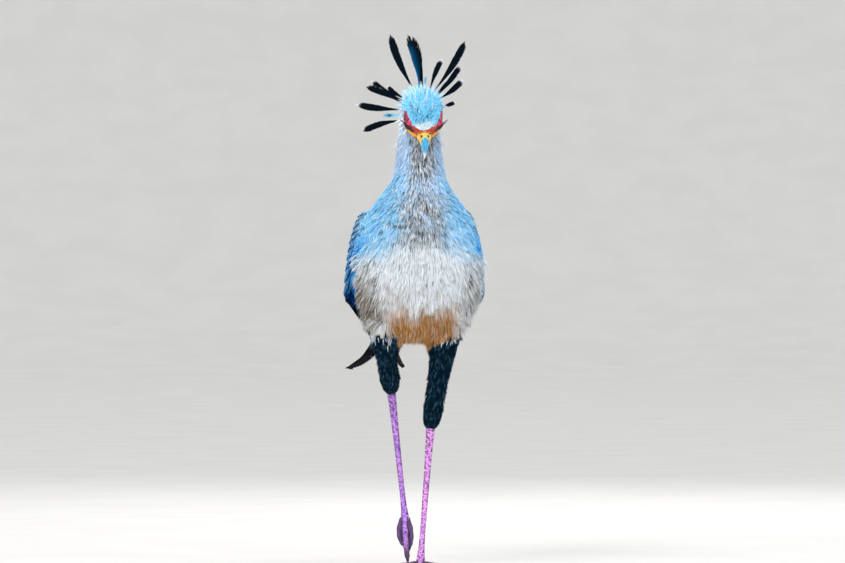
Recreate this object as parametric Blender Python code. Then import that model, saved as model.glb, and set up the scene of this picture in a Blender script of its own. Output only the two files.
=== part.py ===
"""A life-size secretary bird in mid stride, facing -Y, with its left side at +X.

The origin is under the pad of the standing left foot, on the floor. Lengths are given in
millimetres and turned into metres by MM. The solids are the outside of the plumage.
"""

from math import cos, pi, radians, sin

import bmesh
import bpy
import numpy as np
from mathutils import Vector

MM = 0.001
SEAM = 0.3 * MM  # the gap left between two pieces that touch

# Driving sizes of the bird, in millimetres
EYE_HEIGHT = 1055
EYE_RADIUS = 12
HEAD_PITCH = 50  # degrees, the bill pointing down
BODY_YAW = 7  # degrees, the tail swung towards the bird's right
SIDES = {"left": 1, "right": -1}

# The body in its own frame, before it is turned by BODY_YAW: for each cross-section, the
# back line (y, z), the breast and belly line (y, z) and the half width, from rump to nape
BODY_PLACE = (-16, -20, 0)
TRUNK_STATIONS = (
    (304, 724, 292, 672, 36),
    (252, 760, 226, 630, 62),
    (186, 797, 150, 588, 92),
    (112, 826, 72, 554, 117),
    (44, 846, -8, 537, 134),
    (-2, 862, -78, 535, 145),
    (-28, 876, -142, 568, 148),
    (-42, 892, -188, 638, 139),
    (-49, 908, -208, 718, 121),
    (-53, 927, -205, 793, 93),
    (-56, 946, -191, 850, 73),
)
NECK_STATIONS = (
    (-56, 946, -191, 850, 73),
    (-58, 968, -177, 896, 65),
    (-60, 992, -164, 936, 59),
    (-64, 1019, -156, 970, 55),
    (-74, 1048, -153, 1000, 52),
    (-94, 1080, -158, 1026, 48),
    (-116, 1106, -160, 1052, 38),
)
TRUNK_RINGS = 19
NECK_RINGS = 10
BODY_POINTS = 24
TRUNK_SQUARENESS = 2.5
WIDEST_AT = 0.42  # how far up each cross-section the body is widest

# The folded wing: y, middle x and z, half thickness, half height and lean of the top inwards
WING_STATIONS = (
    (-116, 112, 758, 5, 50, 10),
    (-104, 119, 752, 16, 79, 10),
    (-84, 125, 740, 25, 106, 9),
    (-40, 130, 719, 28, 133, 6),
    (30, 129, 709, 28, 134, 6),
    (100, 118, 703, 28, 129, 12),
    (170, 98, 695, 25, 112, 20),
    (240, 75, 689, 21, 87, 31),
    (315, 55, 679, 16, 66, 35),
    (400, 40, 671, 11, 46, 36),
    (475, 32, 664, 7, 29, 30),
    (532, 29, 659, 3, 13, 24),
)
WING_RINGS = 17
WING_POINTS = 14

# The closed tail: y, z, half width, half thickness
TAIL_STATIONS = (
    (299, 696, 34, 23),
    (340, 679, 36, 15),
    (400, 654, 39, 9.5),
    (480, 620, 42, 7),
    (560, 584, 43, 5),
    (612, 561, 36, 3.2),
    (634, 551, 20, 2),
)
TAIL_RINGS = 11
TAIL_POINTS = 14
TAIL_SQUARENESS = 2.4
TAIL_UP = (0, 0.25, 0.97)  # its cross-sections lean back by this
# A long middle tail feather: y, sideways spread, z, half width
STREAMER_STATIONS = (
    (540, 8, 589, 10),
    (610, 14, 549, 17),
    (690, 33, 507, 19),
    (770, 52, 484, 20),
    (830, 66, 473, 16),
    (858, 72, 470, 9),
    (866, 74, 469, 2.5),
)
STREAMER_RINGS = 12
STREAMER_DRIFT = 10  # how far the tips of the pair stand off towards the left
STREAMER_LIFT = 1.7  # half the height from the right one to the left one, which lies on it
STREAMER_FACE = (0, -0.3, 1)
FEATHER_HALF_THICKNESS = 0.9

# The head in its own frame: distance ahead of the eyes, half width, the height at which it is
# that wide, along the line of the gape in front, and the rise and drop from there
HEAD_STATIONS = (
    (39, 17, -8, 16.5, 8),
    (31, 25.5, -9, 22, 11),
    (18, 35.5, -9.5, 29, 15.5),
    (3, 43.5, -8.5, 35, 22),
    (-13, 48.5, -6, 40, 29),
    (-30, 52, -2, 44, 36),
    (-47, 53, 0, 49, 38),
    (-64, 50, 0, 53, 35),
    (-78, 38, 0, 46, 27),
    (-88, 18, 0, 30, 14),
)
HEAD_PLACE = (7, -195, EYE_HEIGHT)
HEAD_YAW = 6  # degrees, the bill turned towards the bird's left
HEAD_RINGS = 14
HEAD_POINTS = 20
HEAD_SQUARENESS = 2.2
EYE_SIDE = 34  # from the midline to the middle of the eyeball
EYE_AHEAD = 3
EYE_RISE = 4
EYE_RINGS = 8
EYE_POINTS = 12

# The bill in the head's frame: the ridge, the cutting edge and the half width
UPPER_BILL_STATIONS = (
    (39.4, 8.4, -8.5, 11.8),
    (47, 8.2, -9.5, 11),
    (55, 5.6, -10.5, 10),
    (63, 0, -13, 8.4),
    (70, -8, -18.5, 6.4),
    (75, -18, -26, 4.2),
    (77.6, -28, -33, 2.3),
    (77.8, -37, -38, 0.8),
)
# the lean of each section of the hook, from upright to flat
UPPER_BILL_LEAN = (0, 0, 6, 16, 30, 48, 68, 85)
LOWER_BILL_STATIONS = (
    (39.4, -9.4, -16.5, 10.6),
    (47, -10.4, -17.5, 9.2),
    (54, -11.6, -18, 7),
    (60, -14.2, -18.5, 4),
    (63, -16.6, -18.6, 1.6),
)
UPPER_BILL_RINGS = 12
LOWER_BILL_RINGS = 7
UPPER_BILL_POINTS = 12
LOWER_BILL_POINTS = 10
THINNEST_BILL = 0.7  # half the height of its last section

# The leg joints in the row frame
ANKLE = {"left": (24.5, 12, 338), "right": (-71, 68, 424)}
FOOT_JOINT = {"left": (1, 0, 24), "right": (-38, 94, 119)}
KNEE = {"left": (73, -132, 642), "right": (-95, -185, 622)}
# share of the way from ankle to knee, half width and half depth of the feathered shank
SHANK_STATIONS = (
    (-0.03, 9, 9),
    (-0.012, 16, 16),
    (0.04, 22, 22),
    (0.18, 24.5, 25),
    (0.38, 28.5, 31),
    (0.58, 35, 39),
    (0.74, 40, 44),
    (0.86, 34, 36),
)
SHANK_RINGS = 10
SHANK_POINTS = 14
# share of the way down the bare shank, and its half width
TARSUS_STATIONS = (
    (-0.02, 9),
    (0.04, 11),
    (0.1, 9.8),
    (0.3, 8.2),
    (0.55, 7.2),
    (0.8, 6.6),
    (0.93, 7.4),
    (1.0, 9.5),
)
TARSUS_DEPTH = 1.12  # its depth as a share of its width
TARSUS_RINGS = 11
TARSUS_POINTS = 10
# the pad under the standing foot: height above the floor and radius
PAD_RADIUS = 11
PAD_RINGS = ((15, 10.5), (8, PAD_RADIUS), (3, PAD_RADIUS), (0, 9))
# below the trailing foot's joint: how far down each closing ring lies, and its size
TRAILING_JOINT_RINGS = ((7, 1), (12, 0.6))

# Each toe: its turn from straight ahead towards the outer side, its length and half width
TOE_TURN = {"middle": -2, "inner": -40, "outer": 35, "hind": 172}
TOE_LENGTH = {"middle": 84, "inner": 62, "outer": 60, "hind": 30}
TOE_HALF_WIDTH = {"middle": 7.4, "inner": 7.0, "outer": 6.8, "hind": 6.4}
CLAW_LENGTH = {"middle": 23, "inner": 24, "outer": 20, "hind": 25}
TOE_POINTS = 9
TOE_RINGS = 8
TOE_ROOT_INSIDE_PAD = 4
TOE_DROP = 2  # how much lower the end of a standing toe lies than its root
CLAW_POINTS = 7
CLAW_STEPS = 5
CLAW_ROOT_SHARE = 0.62  # of the toe's half width
CLAW_TIP_RADIUS = 0.45
STANDING_CLAW_BEND = 52  # degrees
HANGING_CLAW_BEND = 45
# The trailing right foot's toes: root, bend and tip, from the foot joint. The bird stands on its
# left foot and on the tip of the right middle claw.
HANGING_TOES = {
    "middle": ((0, -3, -8), (0, -7, -50), (6, 0, -101)),
    "inner": ((5, 5, -8), (18, 8, -45), (13, 12, -72)),
    "outer": ((-5, 5, -8), (-20, 8, -45), (-5, 12, -70)),
    "hind": ((0, 6, 1), (0, 24, 0), (0, 28, -24)),
}

# Each crest plume as it shows from the front: the root and tip (x, z), half width, how far
# the tip leans back from the root, and the sideways bow of its shaft
CREST_PLUMES = (
    (-14, 1134, -72, 1269, 9.5, 62, 5),
    (-2, 1140, -27, 1265, 13, 70, -7),
    (6, 1141, -21, 1243, 9, 86, -5),
    (22, 1138, 50, 1211, 6.5, 40, 2),
    (31, 1134, 105, 1254, 9, 66, -5),
    (40, 1124, 94, 1196, 7, 52, -2),
    (37, 1127, 74, 1166, 5, 58, 0),
    (44, 1116, 99, 1162, 7.5, 46, -3),
    (50, 1096, 82, 1109, 5, 30, 0),
    (-34, 1116, -79, 1148, 5.5, 40, 3),
    (-40, 1112, -116, 1161, 7, 56, 4),
    (-41, 1106, -128, 1147, 8, 60, -3),
    (-43, 1091, -152, 1104, 8.5, 64, 2),
    (-42, 1079, -88, 1078, 5, 44, 0),
    (-42, 1066, -135, 1042, 8, 58, -5),
    (10, 1138, 24, 1214, 7, 98, 0),
)
PLUME_ROOT_Y = -148
PLUME_STAGGER = 4  # how much further back every other plume stands, so that none touch
PLUME_RINGS = 8

COLOURS = {
    "plumage": ((0.56, 0.68, 0.80), 0.85),
    "breast": ((0.80, 0.76, 0.70), 0.9),
    "black_feathers": ((0.015, 0.02, 0.03), 0.6),
    "leg_skin": ((0.72, 0.36, 0.62), 0.55),
    "bill": ((0.25, 0.55, 0.68), 0.35),
    "claws": ((0.03, 0.03, 0.035), 0.35),
    "eyes": ((0.05, 0.02, 0.015), 0.08),
}


def clear_scene():
    for obj in list(bpy.data.objects):
        bpy.data.objects.remove(obj, do_unlink=True)


def material(name):
    found = bpy.data.materials.get(name)
    if found:
        return found
    colour, roughness = COLOURS[name]
    made = bpy.data.materials.new(name)
    made.use_nodes = True
    shader = made.node_tree.nodes["Principled BSDF"]
    shader.inputs["Base Color"].default_value = (*colour, 1)
    shader.inputs["Roughness"].default_value = roughness
    shader.inputs["Metallic"].default_value = 0
    return made


def smooth(stations, count):
    """The stations, read as rows of numbers, passed through by a smooth curve of count rows."""
    rows = np.array(stations, float)
    last = len(rows) - 1
    # end rows carried on in a straight line
    padded = np.vstack([2 * rows[0] - rows[1], rows, 2 * rows[-1] - rows[-2]])
    made = []
    for place in np.linspace(0, last, count):
        i = min(int(place), last - 1)
        t = place - i
        a, b, c, d = padded[i : i + 4]
        made.append(
            0.5 * (2 * b + (c - a) * t + (2 * a - 5 * b + 4 * c - d) * t**2 + (3 * b - a - 3 * c + d) * t**3)
        )
    return made


def section(middle, across, up, half_width, rise, drop, points, squareness=2.0):
    """An oval ring round middle: across and up are its unit directions, sizes in millimetres."""
    ring = []
    for k in range(points):
        angle = 2 * pi * k / points
        c, s = cos(angle), sin(angle)
        out = half_width * np.sign(c) * abs(c) ** (2 / squareness)
        height = (rise if s > 0 else drop) * np.sign(s) * abs(s) ** (2 / squareness)
        ring.append((Vector(middle) + Vector(across) * out + Vector(up) * height) * MM)
    return ring


def loft(name, rings, finish, parent=None):
    """One closed skin over the rings, with flat ends."""
    bm = bmesh.new()
    loops = [[bm.verts.new(point) for point in ring] for ring in rings]
    count = len(loops[0])
    for near, far in zip(loops, loops[1:]):
        for i in range(count):
            j = (i + 1) % count
            bm.faces.new((near[i], near[j], far[j], far[i]))
    bm.faces.new(loops[0])
    bm.faces.new(loops[-1])
    bmesh.ops.recalc_face_normals(bm, faces=bm.faces)
    bmesh.ops.triangulate(bm, faces=bm.faces)
    mesh = bpy.data.meshes.new(name)
    bm.to_mesh(mesh)
    bm.free()
    mesh.shade_smooth()
    mesh.set_sharp_from_angle(angle=radians(50))
    mesh.materials.append(material(finish))
    obj = bpy.data.objects.new(name, mesh)
    bpy.context.scene.collection.objects.link(obj)
    obj.parent = parent
    return obj


def empty(name, place, turn=(0, 0, 0)):
    made = bpy.data.objects.new(name, None)
    made.location = Vector(place) * MM
    made.rotation_euler = [radians(angle) for angle in turn]
    bpy.context.scene.collection.objects.link(made)
    return made


def grown(obj):
    """A hidden copy of obj, larger by the seam all round, to cut its neighbours with."""
    mesh = obj.data.copy()
    mesh.update()
    normals = [vertex.normal.copy() for vertex in mesh.vertices]
    for vertex, normal in zip(mesh.vertices, normals):
        vertex.co += normal * SEAM
    cutter = bpy.data.objects.new(obj.name + "_cutter", mesh)
    cutter.parent = obj.parent
    cutter.hide_render = True
    cutter.display_type = "WIRE"
    bpy.context.scene.collection.objects.link(cutter)
    return cutter


def cut(obj, *cutters):
    for cutter in cutters:
        trim = obj.modifiers.new("trim", "BOOLEAN")
        trim.operation = "DIFFERENCE"
        trim.solver = "EXACT"
        trim.object = cutter


def profile_rings(stations, count, squareness):
    """Rings that stand on the belly line and reach the back line, in the body's frame."""
    rings = []
    for back_y, back_z, belly_y, belly_z, half_width in smooth(stations, count):
        back, belly = Vector((0, back_y, back_z)), Vector((0, belly_y, belly_z))
        height = (back - belly).length
        rings.append(
            section(
                belly.lerp(back, WIDEST_AT),
                (1, 0, 0),
                (back - belly).normalized(),
                half_width,
                height * (1 - WIDEST_AT),
                height * WIDEST_AT,
                BODY_POINTS,
                squareness,
            )
        )
    return rings


def body_and_neck(body):
    trunk = loft("trunk", profile_rings(TRUNK_STATIONS, TRUNK_RINGS, TRUNK_SQUARENESS), "plumage", body)
    neck_rings = profile_rings(NECK_STATIONS, NECK_RINGS, TRUNK_SQUARENESS)
    # the neck's lowest ring is the trunk's last one, moved up along the nape by the seam
    nape = [Vector((0, back_y, back_z)) for back_y, back_z, *_ in NECK_STATIONS[:2]]
    lift = (nape[1] - nape[0]).normalized() * SEAM
    neck_rings[0] = [point + lift for point in neck_rings[0]]
    neck = loft("neck", neck_rings, "plumage", body)
    return trunk, neck


def wing(side, body):
    sign = SIDES[side]
    rings = []
    for y, x, z, half_thickness, half_height, lean in smooth(WING_STATIONS, WING_RINGS):
        turn = radians(lean)
        up = (-sign * sin(turn), 0, cos(turn))
        across = (cos(turn), 0, sign * sin(turn))
        rings.append(
            section((sign * x, y, z), across, up, half_thickness, half_height, half_height, WING_POINTS)
        )
    return loft(f"wing_{side}", rings, "plumage", body)


def tail(body):
    rings = []
    for y, z, half_width, half_thickness in smooth(TAIL_STATIONS, TAIL_RINGS):
        rings.append(
            section(
                (0, y, z),
                (1, 0, 0),
                TAIL_UP,
                half_width,
                half_thickness,
                half_thickness,
                TAIL_POINTS,
                TAIL_SQUARENESS,
            )
        )
    return loft("tail", rings, "plumage", body)


def blade_ring(middle, along, face, half_width, half_thickness):
    """A flat four-sided section of a feather: along its shaft, face its flat side's direction."""
    across = Vector(along).cross(Vector(face)).normalized()
    outward = across.cross(Vector(along)).normalized()
    middle = Vector(middle)
    corners = (across * half_width, outward * half_thickness, -across * half_width, -outward * half_thickness)
    return [(middle + corner) * MM for corner in corners]


def feather(name, points, half_widths, face, finish, parent=None):
    """A feather as a thin blade along points."""
    rings = []
    for i, (point, half_width) in enumerate(zip(points, half_widths)):
        ahead = points[min(i + 1, len(points) - 1)]
        behind = points[max(i - 1, 0)]
        rings.append(
            blade_ring(point, (ahead - behind).normalized(), face, half_width, FEATHER_HALF_THICKNESS)
        )
    return loft(name, rings, finish, parent)


def streamer(side, body):
    rows = smooth(STREAMER_STATIONS, STREAMER_RINGS)
    sign = SIDES[side]
    points = []
    for k, (y, spread, z, _) in enumerate(rows):
        aside = sign * spread + STREAMER_DRIFT * k / (len(rows) - 1)
        points.append(Vector((aside, y, z + sign * STREAMER_LIFT)))
    half_widths = [row[3] for row in rows]
    return feather(f"tail_streamer_{side}", points, half_widths, STREAMER_FACE, "black_feathers", body)


def head_and_bill(head_frame):
    rings = []
    for ahead, half_width, height, rise, drop in smooth(HEAD_STATIONS, HEAD_RINGS):
        middle = (0, -ahead, height)
        rings.append(
            section(
                middle, (1, 0, 0), (0, 0, 1), half_width, rise, drop, HEAD_POINTS, HEAD_SQUARENESS
            )
        )
    head = loft("head", rings, "plumage", head_frame)
    upper = []
    leans = smooth([(lean,) for lean in UPPER_BILL_LEAN], UPPER_BILL_RINGS)
    rows = smooth(UPPER_BILL_STATIONS, UPPER_BILL_RINGS)
    for (ahead, ridge, edge, half_width), (lean,) in zip(rows, leans):
        turn = radians(lean)
        half_height = max((ridge - edge) / 2, THINNEST_BILL)
        middle = (0, -ahead, (ridge + edge) / 2)
        up = (0, -sin(turn), cos(turn))
        upper.append(
            section(middle, (1, 0, 0), up, half_width, half_height, half_height, UPPER_BILL_POINTS)
        )
    lower = []
    for ahead, top, bottom, half_width in smooth(LOWER_BILL_STATIONS, LOWER_BILL_RINGS):
        half_height = (top - bottom) / 2
        middle = (0, -ahead, (top + bottom) / 2)
        lower.append(
            section(
                middle, (1, 0, 0), (0, 0, 1), half_width, half_height, half_height, LOWER_BILL_POINTS
            )
        )
    bill_upper = loft("bill_upper", upper, "bill", head_frame)
    bill_lower = loft("bill_lower", lower, "bill", head_frame)
    cut(bill_lower, grown(bill_upper))
    return head


def eye(side, head_frame):
    rings = []
    for k in range(1, EYE_RINGS):
        angle = pi * k / EYE_RINGS
        middle = (SIDES[side] * (EYE_SIDE + EYE_RADIUS * cos(angle)), -EYE_AHEAD, EYE_RISE)
        radius = EYE_RADIUS * sin(angle)
        rings.append(section(middle, (0, 1, 0), (0, 0, 1), radius, radius, radius, EYE_POINTS))
    return loft(f"eye_{side}", rings, "eyes", head_frame)


def limb_rings(start, end, stations, points, count):
    """Rings along a straight limb: rows of share of the way, half width and half depth."""
    start, end = Vector(start), Vector(end)
    along = (end - start).normalized()
    across = along.cross(Vector((0, -1, 0))).normalized()
    depth = across.cross(along)
    rings = []
    for share, half_width, half_depth in smooth(stations, count):
        middle = start + (end - start) * share
        rings.append(section(middle, across, depth, half_width, half_depth, half_depth, points))
    return rings


def shank(side):
    rings = limb_rings(ANKLE[side], KNEE[side], SHANK_STATIONS, SHANK_POINTS, SHANK_RINGS)
    return loft(f"thigh_{side}", rings, "black_feathers")


def on_floor(point):
    return Vector((point.x, point.y, max(point.z, 0)))


def tarsus(side):
    stations = [(share, half_width, half_width * TARSUS_DEPTH) for share, half_width in TARSUS_STATIONS]
    rings = limb_rings(ANKLE[side], FOOT_JOINT[side], stations, TARSUS_POINTS, TARSUS_RINGS)
    joint = Vector(FOOT_JOINT[side])
    if side == "left":
        for height, radius in PAD_RINGS:
            rings.append(
                section((0, 0, height), (-1, 0, 0), (0, -1, 0), radius, radius, radius, TARSUS_POINTS)
            )
    else:
        down = (joint - Vector(ANKLE[side])).normalized()
        last = rings[-1]
        for below, size in TRAILING_JOINT_RINGS:
            rings.append([joint * MM + (point - joint * MM) * size + down * below * MM for point in last])
    return loft(f"tarsus_{side}", rings, "leg_skin")


def tube(name, path, radii, finish, points):
    """A round piece along path, its underside pressed flat where it meets the floor."""
    rings = []
    for i, (point, radius) in enumerate(zip(path, radii)):
        ahead, behind = path[min(i + 1, len(path) - 1)], path[max(i - 1, 0)]
        along = (ahead - behind).normalized()
        side_way = Vector((0, 0, 1)) if abs(along.z) < 0.8 else Vector((0, 1, 0))
        across = along.cross(side_way).normalized()
        ring = section(point, across, across.cross(along), radius, radius, radius, points)
        rings.append([on_floor(corner) for corner in ring])
    return loft(name, rings, finish)


def arc(start, heading, fall, length, bend, steps):
    """Points of a path that sets out along heading and bends towards fall by bend degrees."""
    heading, fall = Vector(heading).normalized(), Vector(fall).normalized()
    path = [Vector(start)]
    for k in range(steps):
        turn = radians(bend) * (k + 0.5) / steps
        path.append(path[-1] + (heading * cos(turn) + fall * sin(turn)).normalized() * (length / steps))
    return path


def knuckled(half_width, count):
    """Half widths along a toe: fuller at its joints, finer at the tip."""
    return [
        half_width * (1 - 0.2 * k / (count - 1)) * (1 + 0.06 * cos(3 * 2 * pi * k / (count - 1)))
        for k in range(count)
    ]


def standing_toe(name):
    """A toe laid on the floor, pointing out from the pad."""
    angle = radians(TOE_TURN[name])
    half_width = TOE_HALF_WIDTH[name]
    heading = Vector((sin(angle), -cos(angle), 0))
    # its middle is a little lower than its half width, so that its underside lies flat
    start = heading * (PAD_RADIUS - TOE_ROOT_INSIDE_PAD) + Vector((0, 0, half_width * 0.82 + 1))
    end = start + heading * TOE_LENGTH[name] - Vector((0, 0, TOE_DROP))
    path = [start.lerp(end, k / (TOE_RINGS - 1)) for k in range(TOE_RINGS)]
    raised = heading + Vector((0, 0, 0.35))
    claw = arc(end - heading, raised, (0, 0, -1), CLAW_LENGTH[name], STANDING_CLAW_BEND, CLAW_STEPS)
    return path, claw


def hanging_toe(name):
    """A toe of the trailing foot, drawn together with the others and pointing down."""
    joint = Vector(FOOT_JOINT["right"])
    start, middle, end = (joint + Vector(offset) for offset in HANGING_TOES[name])
    path = []
    for k in range(TOE_RINGS):
        share = k / (TOE_RINGS - 1)
        path.append(start.lerp(middle, share).lerp(middle.lerp(end, share), share))
    heading = (path[-1] - path[-2]).normalized()
    claw = arc(end - heading, heading, (0, 1, 0), CLAW_LENGTH[name], HANGING_CLAW_BEND, CLAW_STEPS)
    return path, claw


def foot(side, foot_cutter):
    neighbours = [foot_cutter]
    for name, half_width in TOE_HALF_WIDTH.items():
        path, claw_path = standing_toe(name) if side == "left" else hanging_toe(name)
        toe = tube(f"toe_{name}_{side}", path, knuckled(half_width, TOE_RINGS), "leg_skin", TOE_POINTS)
        cut(toe, *neighbours)
        toe_cutter = grown(toe)
        neighbours.append(toe_cutter)
        radii = []
        for k in range(CLAW_STEPS + 1):
            taper = (1 - k / CLAW_STEPS) ** 0.7
            radii.append(half_width * CLAW_ROOT_SHARE * taper + CLAW_TIP_RADIUS)
        claw = tube(f"claw_{name}_{side}", claw_path, radii, "claws", CLAW_POINTS)
        cut(claw, toe_cutter)


def crest_plume(number, plume, *cutters):
    root_x, root_z, tip_x, tip_z, half_width, lean, bow = plume
    root_y = PLUME_ROOT_Y + PLUME_STAGGER * (number % 2)
    root = Vector((root_x, root_y, root_z))
    tip = Vector((tip_x, root_y + lean, tip_z))
    aside = (tip - root).cross(Vector((0, 1, 0))).normalized()
    points, half_widths = [], []
    for k in range(PLUME_RINGS):
        share = k / (PLUME_RINGS - 1)
        # the shaft bows aside and curls back towards its tip
        middle = root.lerp(tip, share) + aside * (bow * sin(pi * share))
        middle.y += lean * 0.25 * (share**2 - share)
        points.append(middle)
        # narrow at the root, widest at two thirds, rounded at the tip
        half_widths.append(half_width * (0.22 + 0.78 * sin(pi * min(share * 0.72, 0.5)) ** 1.6))
    half_widths[-2] *= 0.82
    half_widths[-1] *= 0.3
    made = feather(f"crest_plume_{number:02d}", points, half_widths, (0, -1, 0), "black_feathers")
    cut(made, *cutters)


def main():
    clear_scene()
    body = empty("body_frame", BODY_PLACE, (0, 0, BODY_YAW))
    head_frame = empty("head_frame", HEAD_PLACE, (HEAD_PITCH, 0, HEAD_YAW))

    trunk, neck = body_and_neck(body)
    trunk_cutter, neck_cutter = grown(trunk), grown(neck)
    tail_root = tail(body)
    cut(tail_root, trunk_cutter)
    tail_cutter = grown(tail_root)
    for side in SIDES:
        cut(streamer(side, body), tail_cutter)
        cut(wing(side, body), trunk_cutter, neck_cutter, tail_cutter)

    head = head_and_bill(head_frame)
    head_cutter = grown(head)
    cut(neck, head_cutter)
    for side in SIDES:
        cut(head, grown(eye(side, head_frame)))
    for number, plume in enumerate(CREST_PLUMES, 1):
        crest_plume(number, plume, head_cutter, neck_cutter)

    for side in SIDES:
        feathered = shank(side)
        bare = tarsus(side)
        cut(bare, grown(feathered))
        cut(feathered, trunk_cutter)
        foot(side, grown(bare))


main()
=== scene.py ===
from math import cos, pi, radians, sin

import bmesh
import bpy
import numpy as np
from mathutils import Matrix, Vector
from mathutils.bvhtree import BVHTree


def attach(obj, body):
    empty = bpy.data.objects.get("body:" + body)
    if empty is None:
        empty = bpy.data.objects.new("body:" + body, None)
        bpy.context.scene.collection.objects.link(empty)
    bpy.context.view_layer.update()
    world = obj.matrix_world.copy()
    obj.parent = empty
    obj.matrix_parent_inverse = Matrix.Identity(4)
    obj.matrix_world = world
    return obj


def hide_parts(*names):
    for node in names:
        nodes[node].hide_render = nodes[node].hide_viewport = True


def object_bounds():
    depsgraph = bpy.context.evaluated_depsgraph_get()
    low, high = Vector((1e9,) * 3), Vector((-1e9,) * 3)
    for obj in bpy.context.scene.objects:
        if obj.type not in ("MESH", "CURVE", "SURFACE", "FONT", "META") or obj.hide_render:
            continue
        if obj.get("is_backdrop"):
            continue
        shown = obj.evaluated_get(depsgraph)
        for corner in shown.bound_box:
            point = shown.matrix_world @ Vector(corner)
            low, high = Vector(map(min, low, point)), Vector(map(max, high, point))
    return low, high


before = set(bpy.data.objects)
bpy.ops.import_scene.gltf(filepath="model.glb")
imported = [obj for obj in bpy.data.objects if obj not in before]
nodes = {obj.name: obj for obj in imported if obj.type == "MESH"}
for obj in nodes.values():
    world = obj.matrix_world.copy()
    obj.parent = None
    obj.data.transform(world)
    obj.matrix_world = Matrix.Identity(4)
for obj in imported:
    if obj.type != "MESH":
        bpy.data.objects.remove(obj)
cadLow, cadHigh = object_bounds()
scene = bpy.context.scene
scene.view_settings.view_transform = "Standard"
mm = 0.001
sides = {"left": 1, "right": -1}
seeded = np.random.default_rng


def unit(rows):
    return rows / np.maximum(np.linalg.norm(rows, axis=-1, keepdims=True), 1e-9)


def ease(low, high, value):
    # 0 below low, 1 above high, smooth between; low may be the larger one
    t = np.clip((value - low) / (high - low), 0, 1)
    return t * t * (3 - 2 * t)


def hashed(values):
    # a number from 0 to 1 for each value, without any order
    values = np.sin(values) * 43758.5453
    return values - np.floor(values)


def noiseAt(places, size, seed):
    # smooth noise from -1 to 1, in blobs about size across
    cell = places / size + seed * 17.31
    base = np.floor(cell)
    part = cell - base
    part = part * part * (3 - 2 * part)
    total = 0
    for corner in range(8):
        step = np.array([corner & 1, corner >> 1 & 1, corner >> 2])
        mark = hashed((base + step) @ np.array([127.1, 311.7, 74.7]))
        total = total + mark * np.prod(np.where(step, part, 1 - part), axis=-1)
    return total * 2 - 1


def smoothRows(stations, count):
    # the stations, passed through by a smooth curve of count rows
    rows = np.array(stations, float)
    last = len(rows) - 1
    padded = np.vstack([2 * rows[0] - rows[1], rows, 2 * rows[-1] - rows[-2]])
    place = np.linspace(0, last, count)
    i = np.minimum(place.astype(int), last - 1)
    t = (place - i)[:, None]
    a, b, c, d = padded[i], padded[i + 1], padded[i + 2], padded[i + 3]
    return 0.5 * (2 * b + (c - a) * t + (2 * a - 5 * b + 4 * c - d) * t**2 + (3 * b - a - 3 * c + d) * t**3)


def roundedEnd(share, start, span):
    # a factor for widths: whole as far as start, then a round end
    return np.sqrt(np.clip(1 - np.clip((share - start) / span, 0, 1) ** 2, 0, 1))


def turned(yaw, pitch=0):
    return np.array(Matrix.Rotation(radians(yaw), 3, "Z") @ Matrix.Rotation(radians(pitch), 3, "X"))


# the two frames that the solids were laid out in
pose = {
    "headPlace": np.array([7, -195, 1055]) * mm,
    "headTurn": turned(6, 50),
    "bodyPlace": np.array([-16, -20, 0]) * mm,
    "bodyTurn": turned(7),
}


def toHead(places):
    # across, ahead of the eyes and above them, in millimetres
    across, back, above = ((places - pose["headPlace"]) @ pose["headTurn"] / mm).T
    return across, -back, above


def fromHead(across, ahead, above):
    local = np.stack(np.broadcast_arrays(across, -np.asarray(ahead, float), above), -1) * mm
    return local @ pose["headTurn"].T + pose["headPlace"]


def toBody(places):
    return ((places - pose["bodyPlace"]) @ pose["bodyTurn"] / mm).T


def fromBody(rows):
    return np.asarray(rows, float) * mm @ pose["bodyTurn"].T + pose["bodyPlace"]


def build(name, places, faceSets, looks, marks=None, uv=None):
    # one object from arrays; marks are values at each vertex
    mesh = bpy.data.meshes.new(name)
    faceSets = [np.asarray(faces, np.int32) for faces in faceSets if len(faces)]
    corners = np.concatenate([faces.ravel() for faces in faceSets])
    lengths = np.concatenate([np.full(len(faces), faces.shape[1]) for faces in faceSets])
    mesh.vertices.add(len(places))
    mesh.vertices.foreach_set("co", np.asarray(places, np.float32).ravel())
    mesh.loops.add(len(corners))
    mesh.loops.foreach_set("vertex_index", corners)
    mesh.polygons.add(len(lengths))
    starts = np.concatenate([[0], np.cumsum(lengths)[:-1]]).astype(np.int32)
    mesh.polygons.foreach_set("loop_start", starts)
    mesh.update(calc_edges=True)
    for look in looks:
        mesh.materials.append(look)
    addMarks(mesh, marks or {})
    if uv is not None:
        layer = mesh.uv_layers.new(name="OFBake")
        layer.data.foreach_set("uv", np.asarray(uv, np.float32)[corners].ravel())
    mesh.shade_smooth()
    made = bpy.data.objects.new(name, mesh)
    scene.collection.objects.link(made)
    return made


def addMarks(mesh, marks):
    for key, values in marks.items():
        flat = values.ndim == 1
        layer = mesh.attributes.new(key, "FLOAT" if flat else "FLOAT_COLOR", "POINT")
        layer.data.foreach_set("value" if flat else "color", np.asarray(values, np.float32).ravel())


def finished(piece, slot, *replaced):
    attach(piece, "root")
    if replaced:
        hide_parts(*replaced)
    return piece


def joinParts(parts):
    # several (places, faceSets, marks) as one
    places, faceSets, start = [], [], 0
    for part in parts:
        places.append(part[0])
        faceSets += [np.asarray(faces) + start for faces in part[1] if len(faces)]
        start += len(part[0])
    marks = {key: np.concatenate([part[2][key] for part in parts]) for key in parts[0][2]}
    return np.concatenate(places), faceSets, marks


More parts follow.
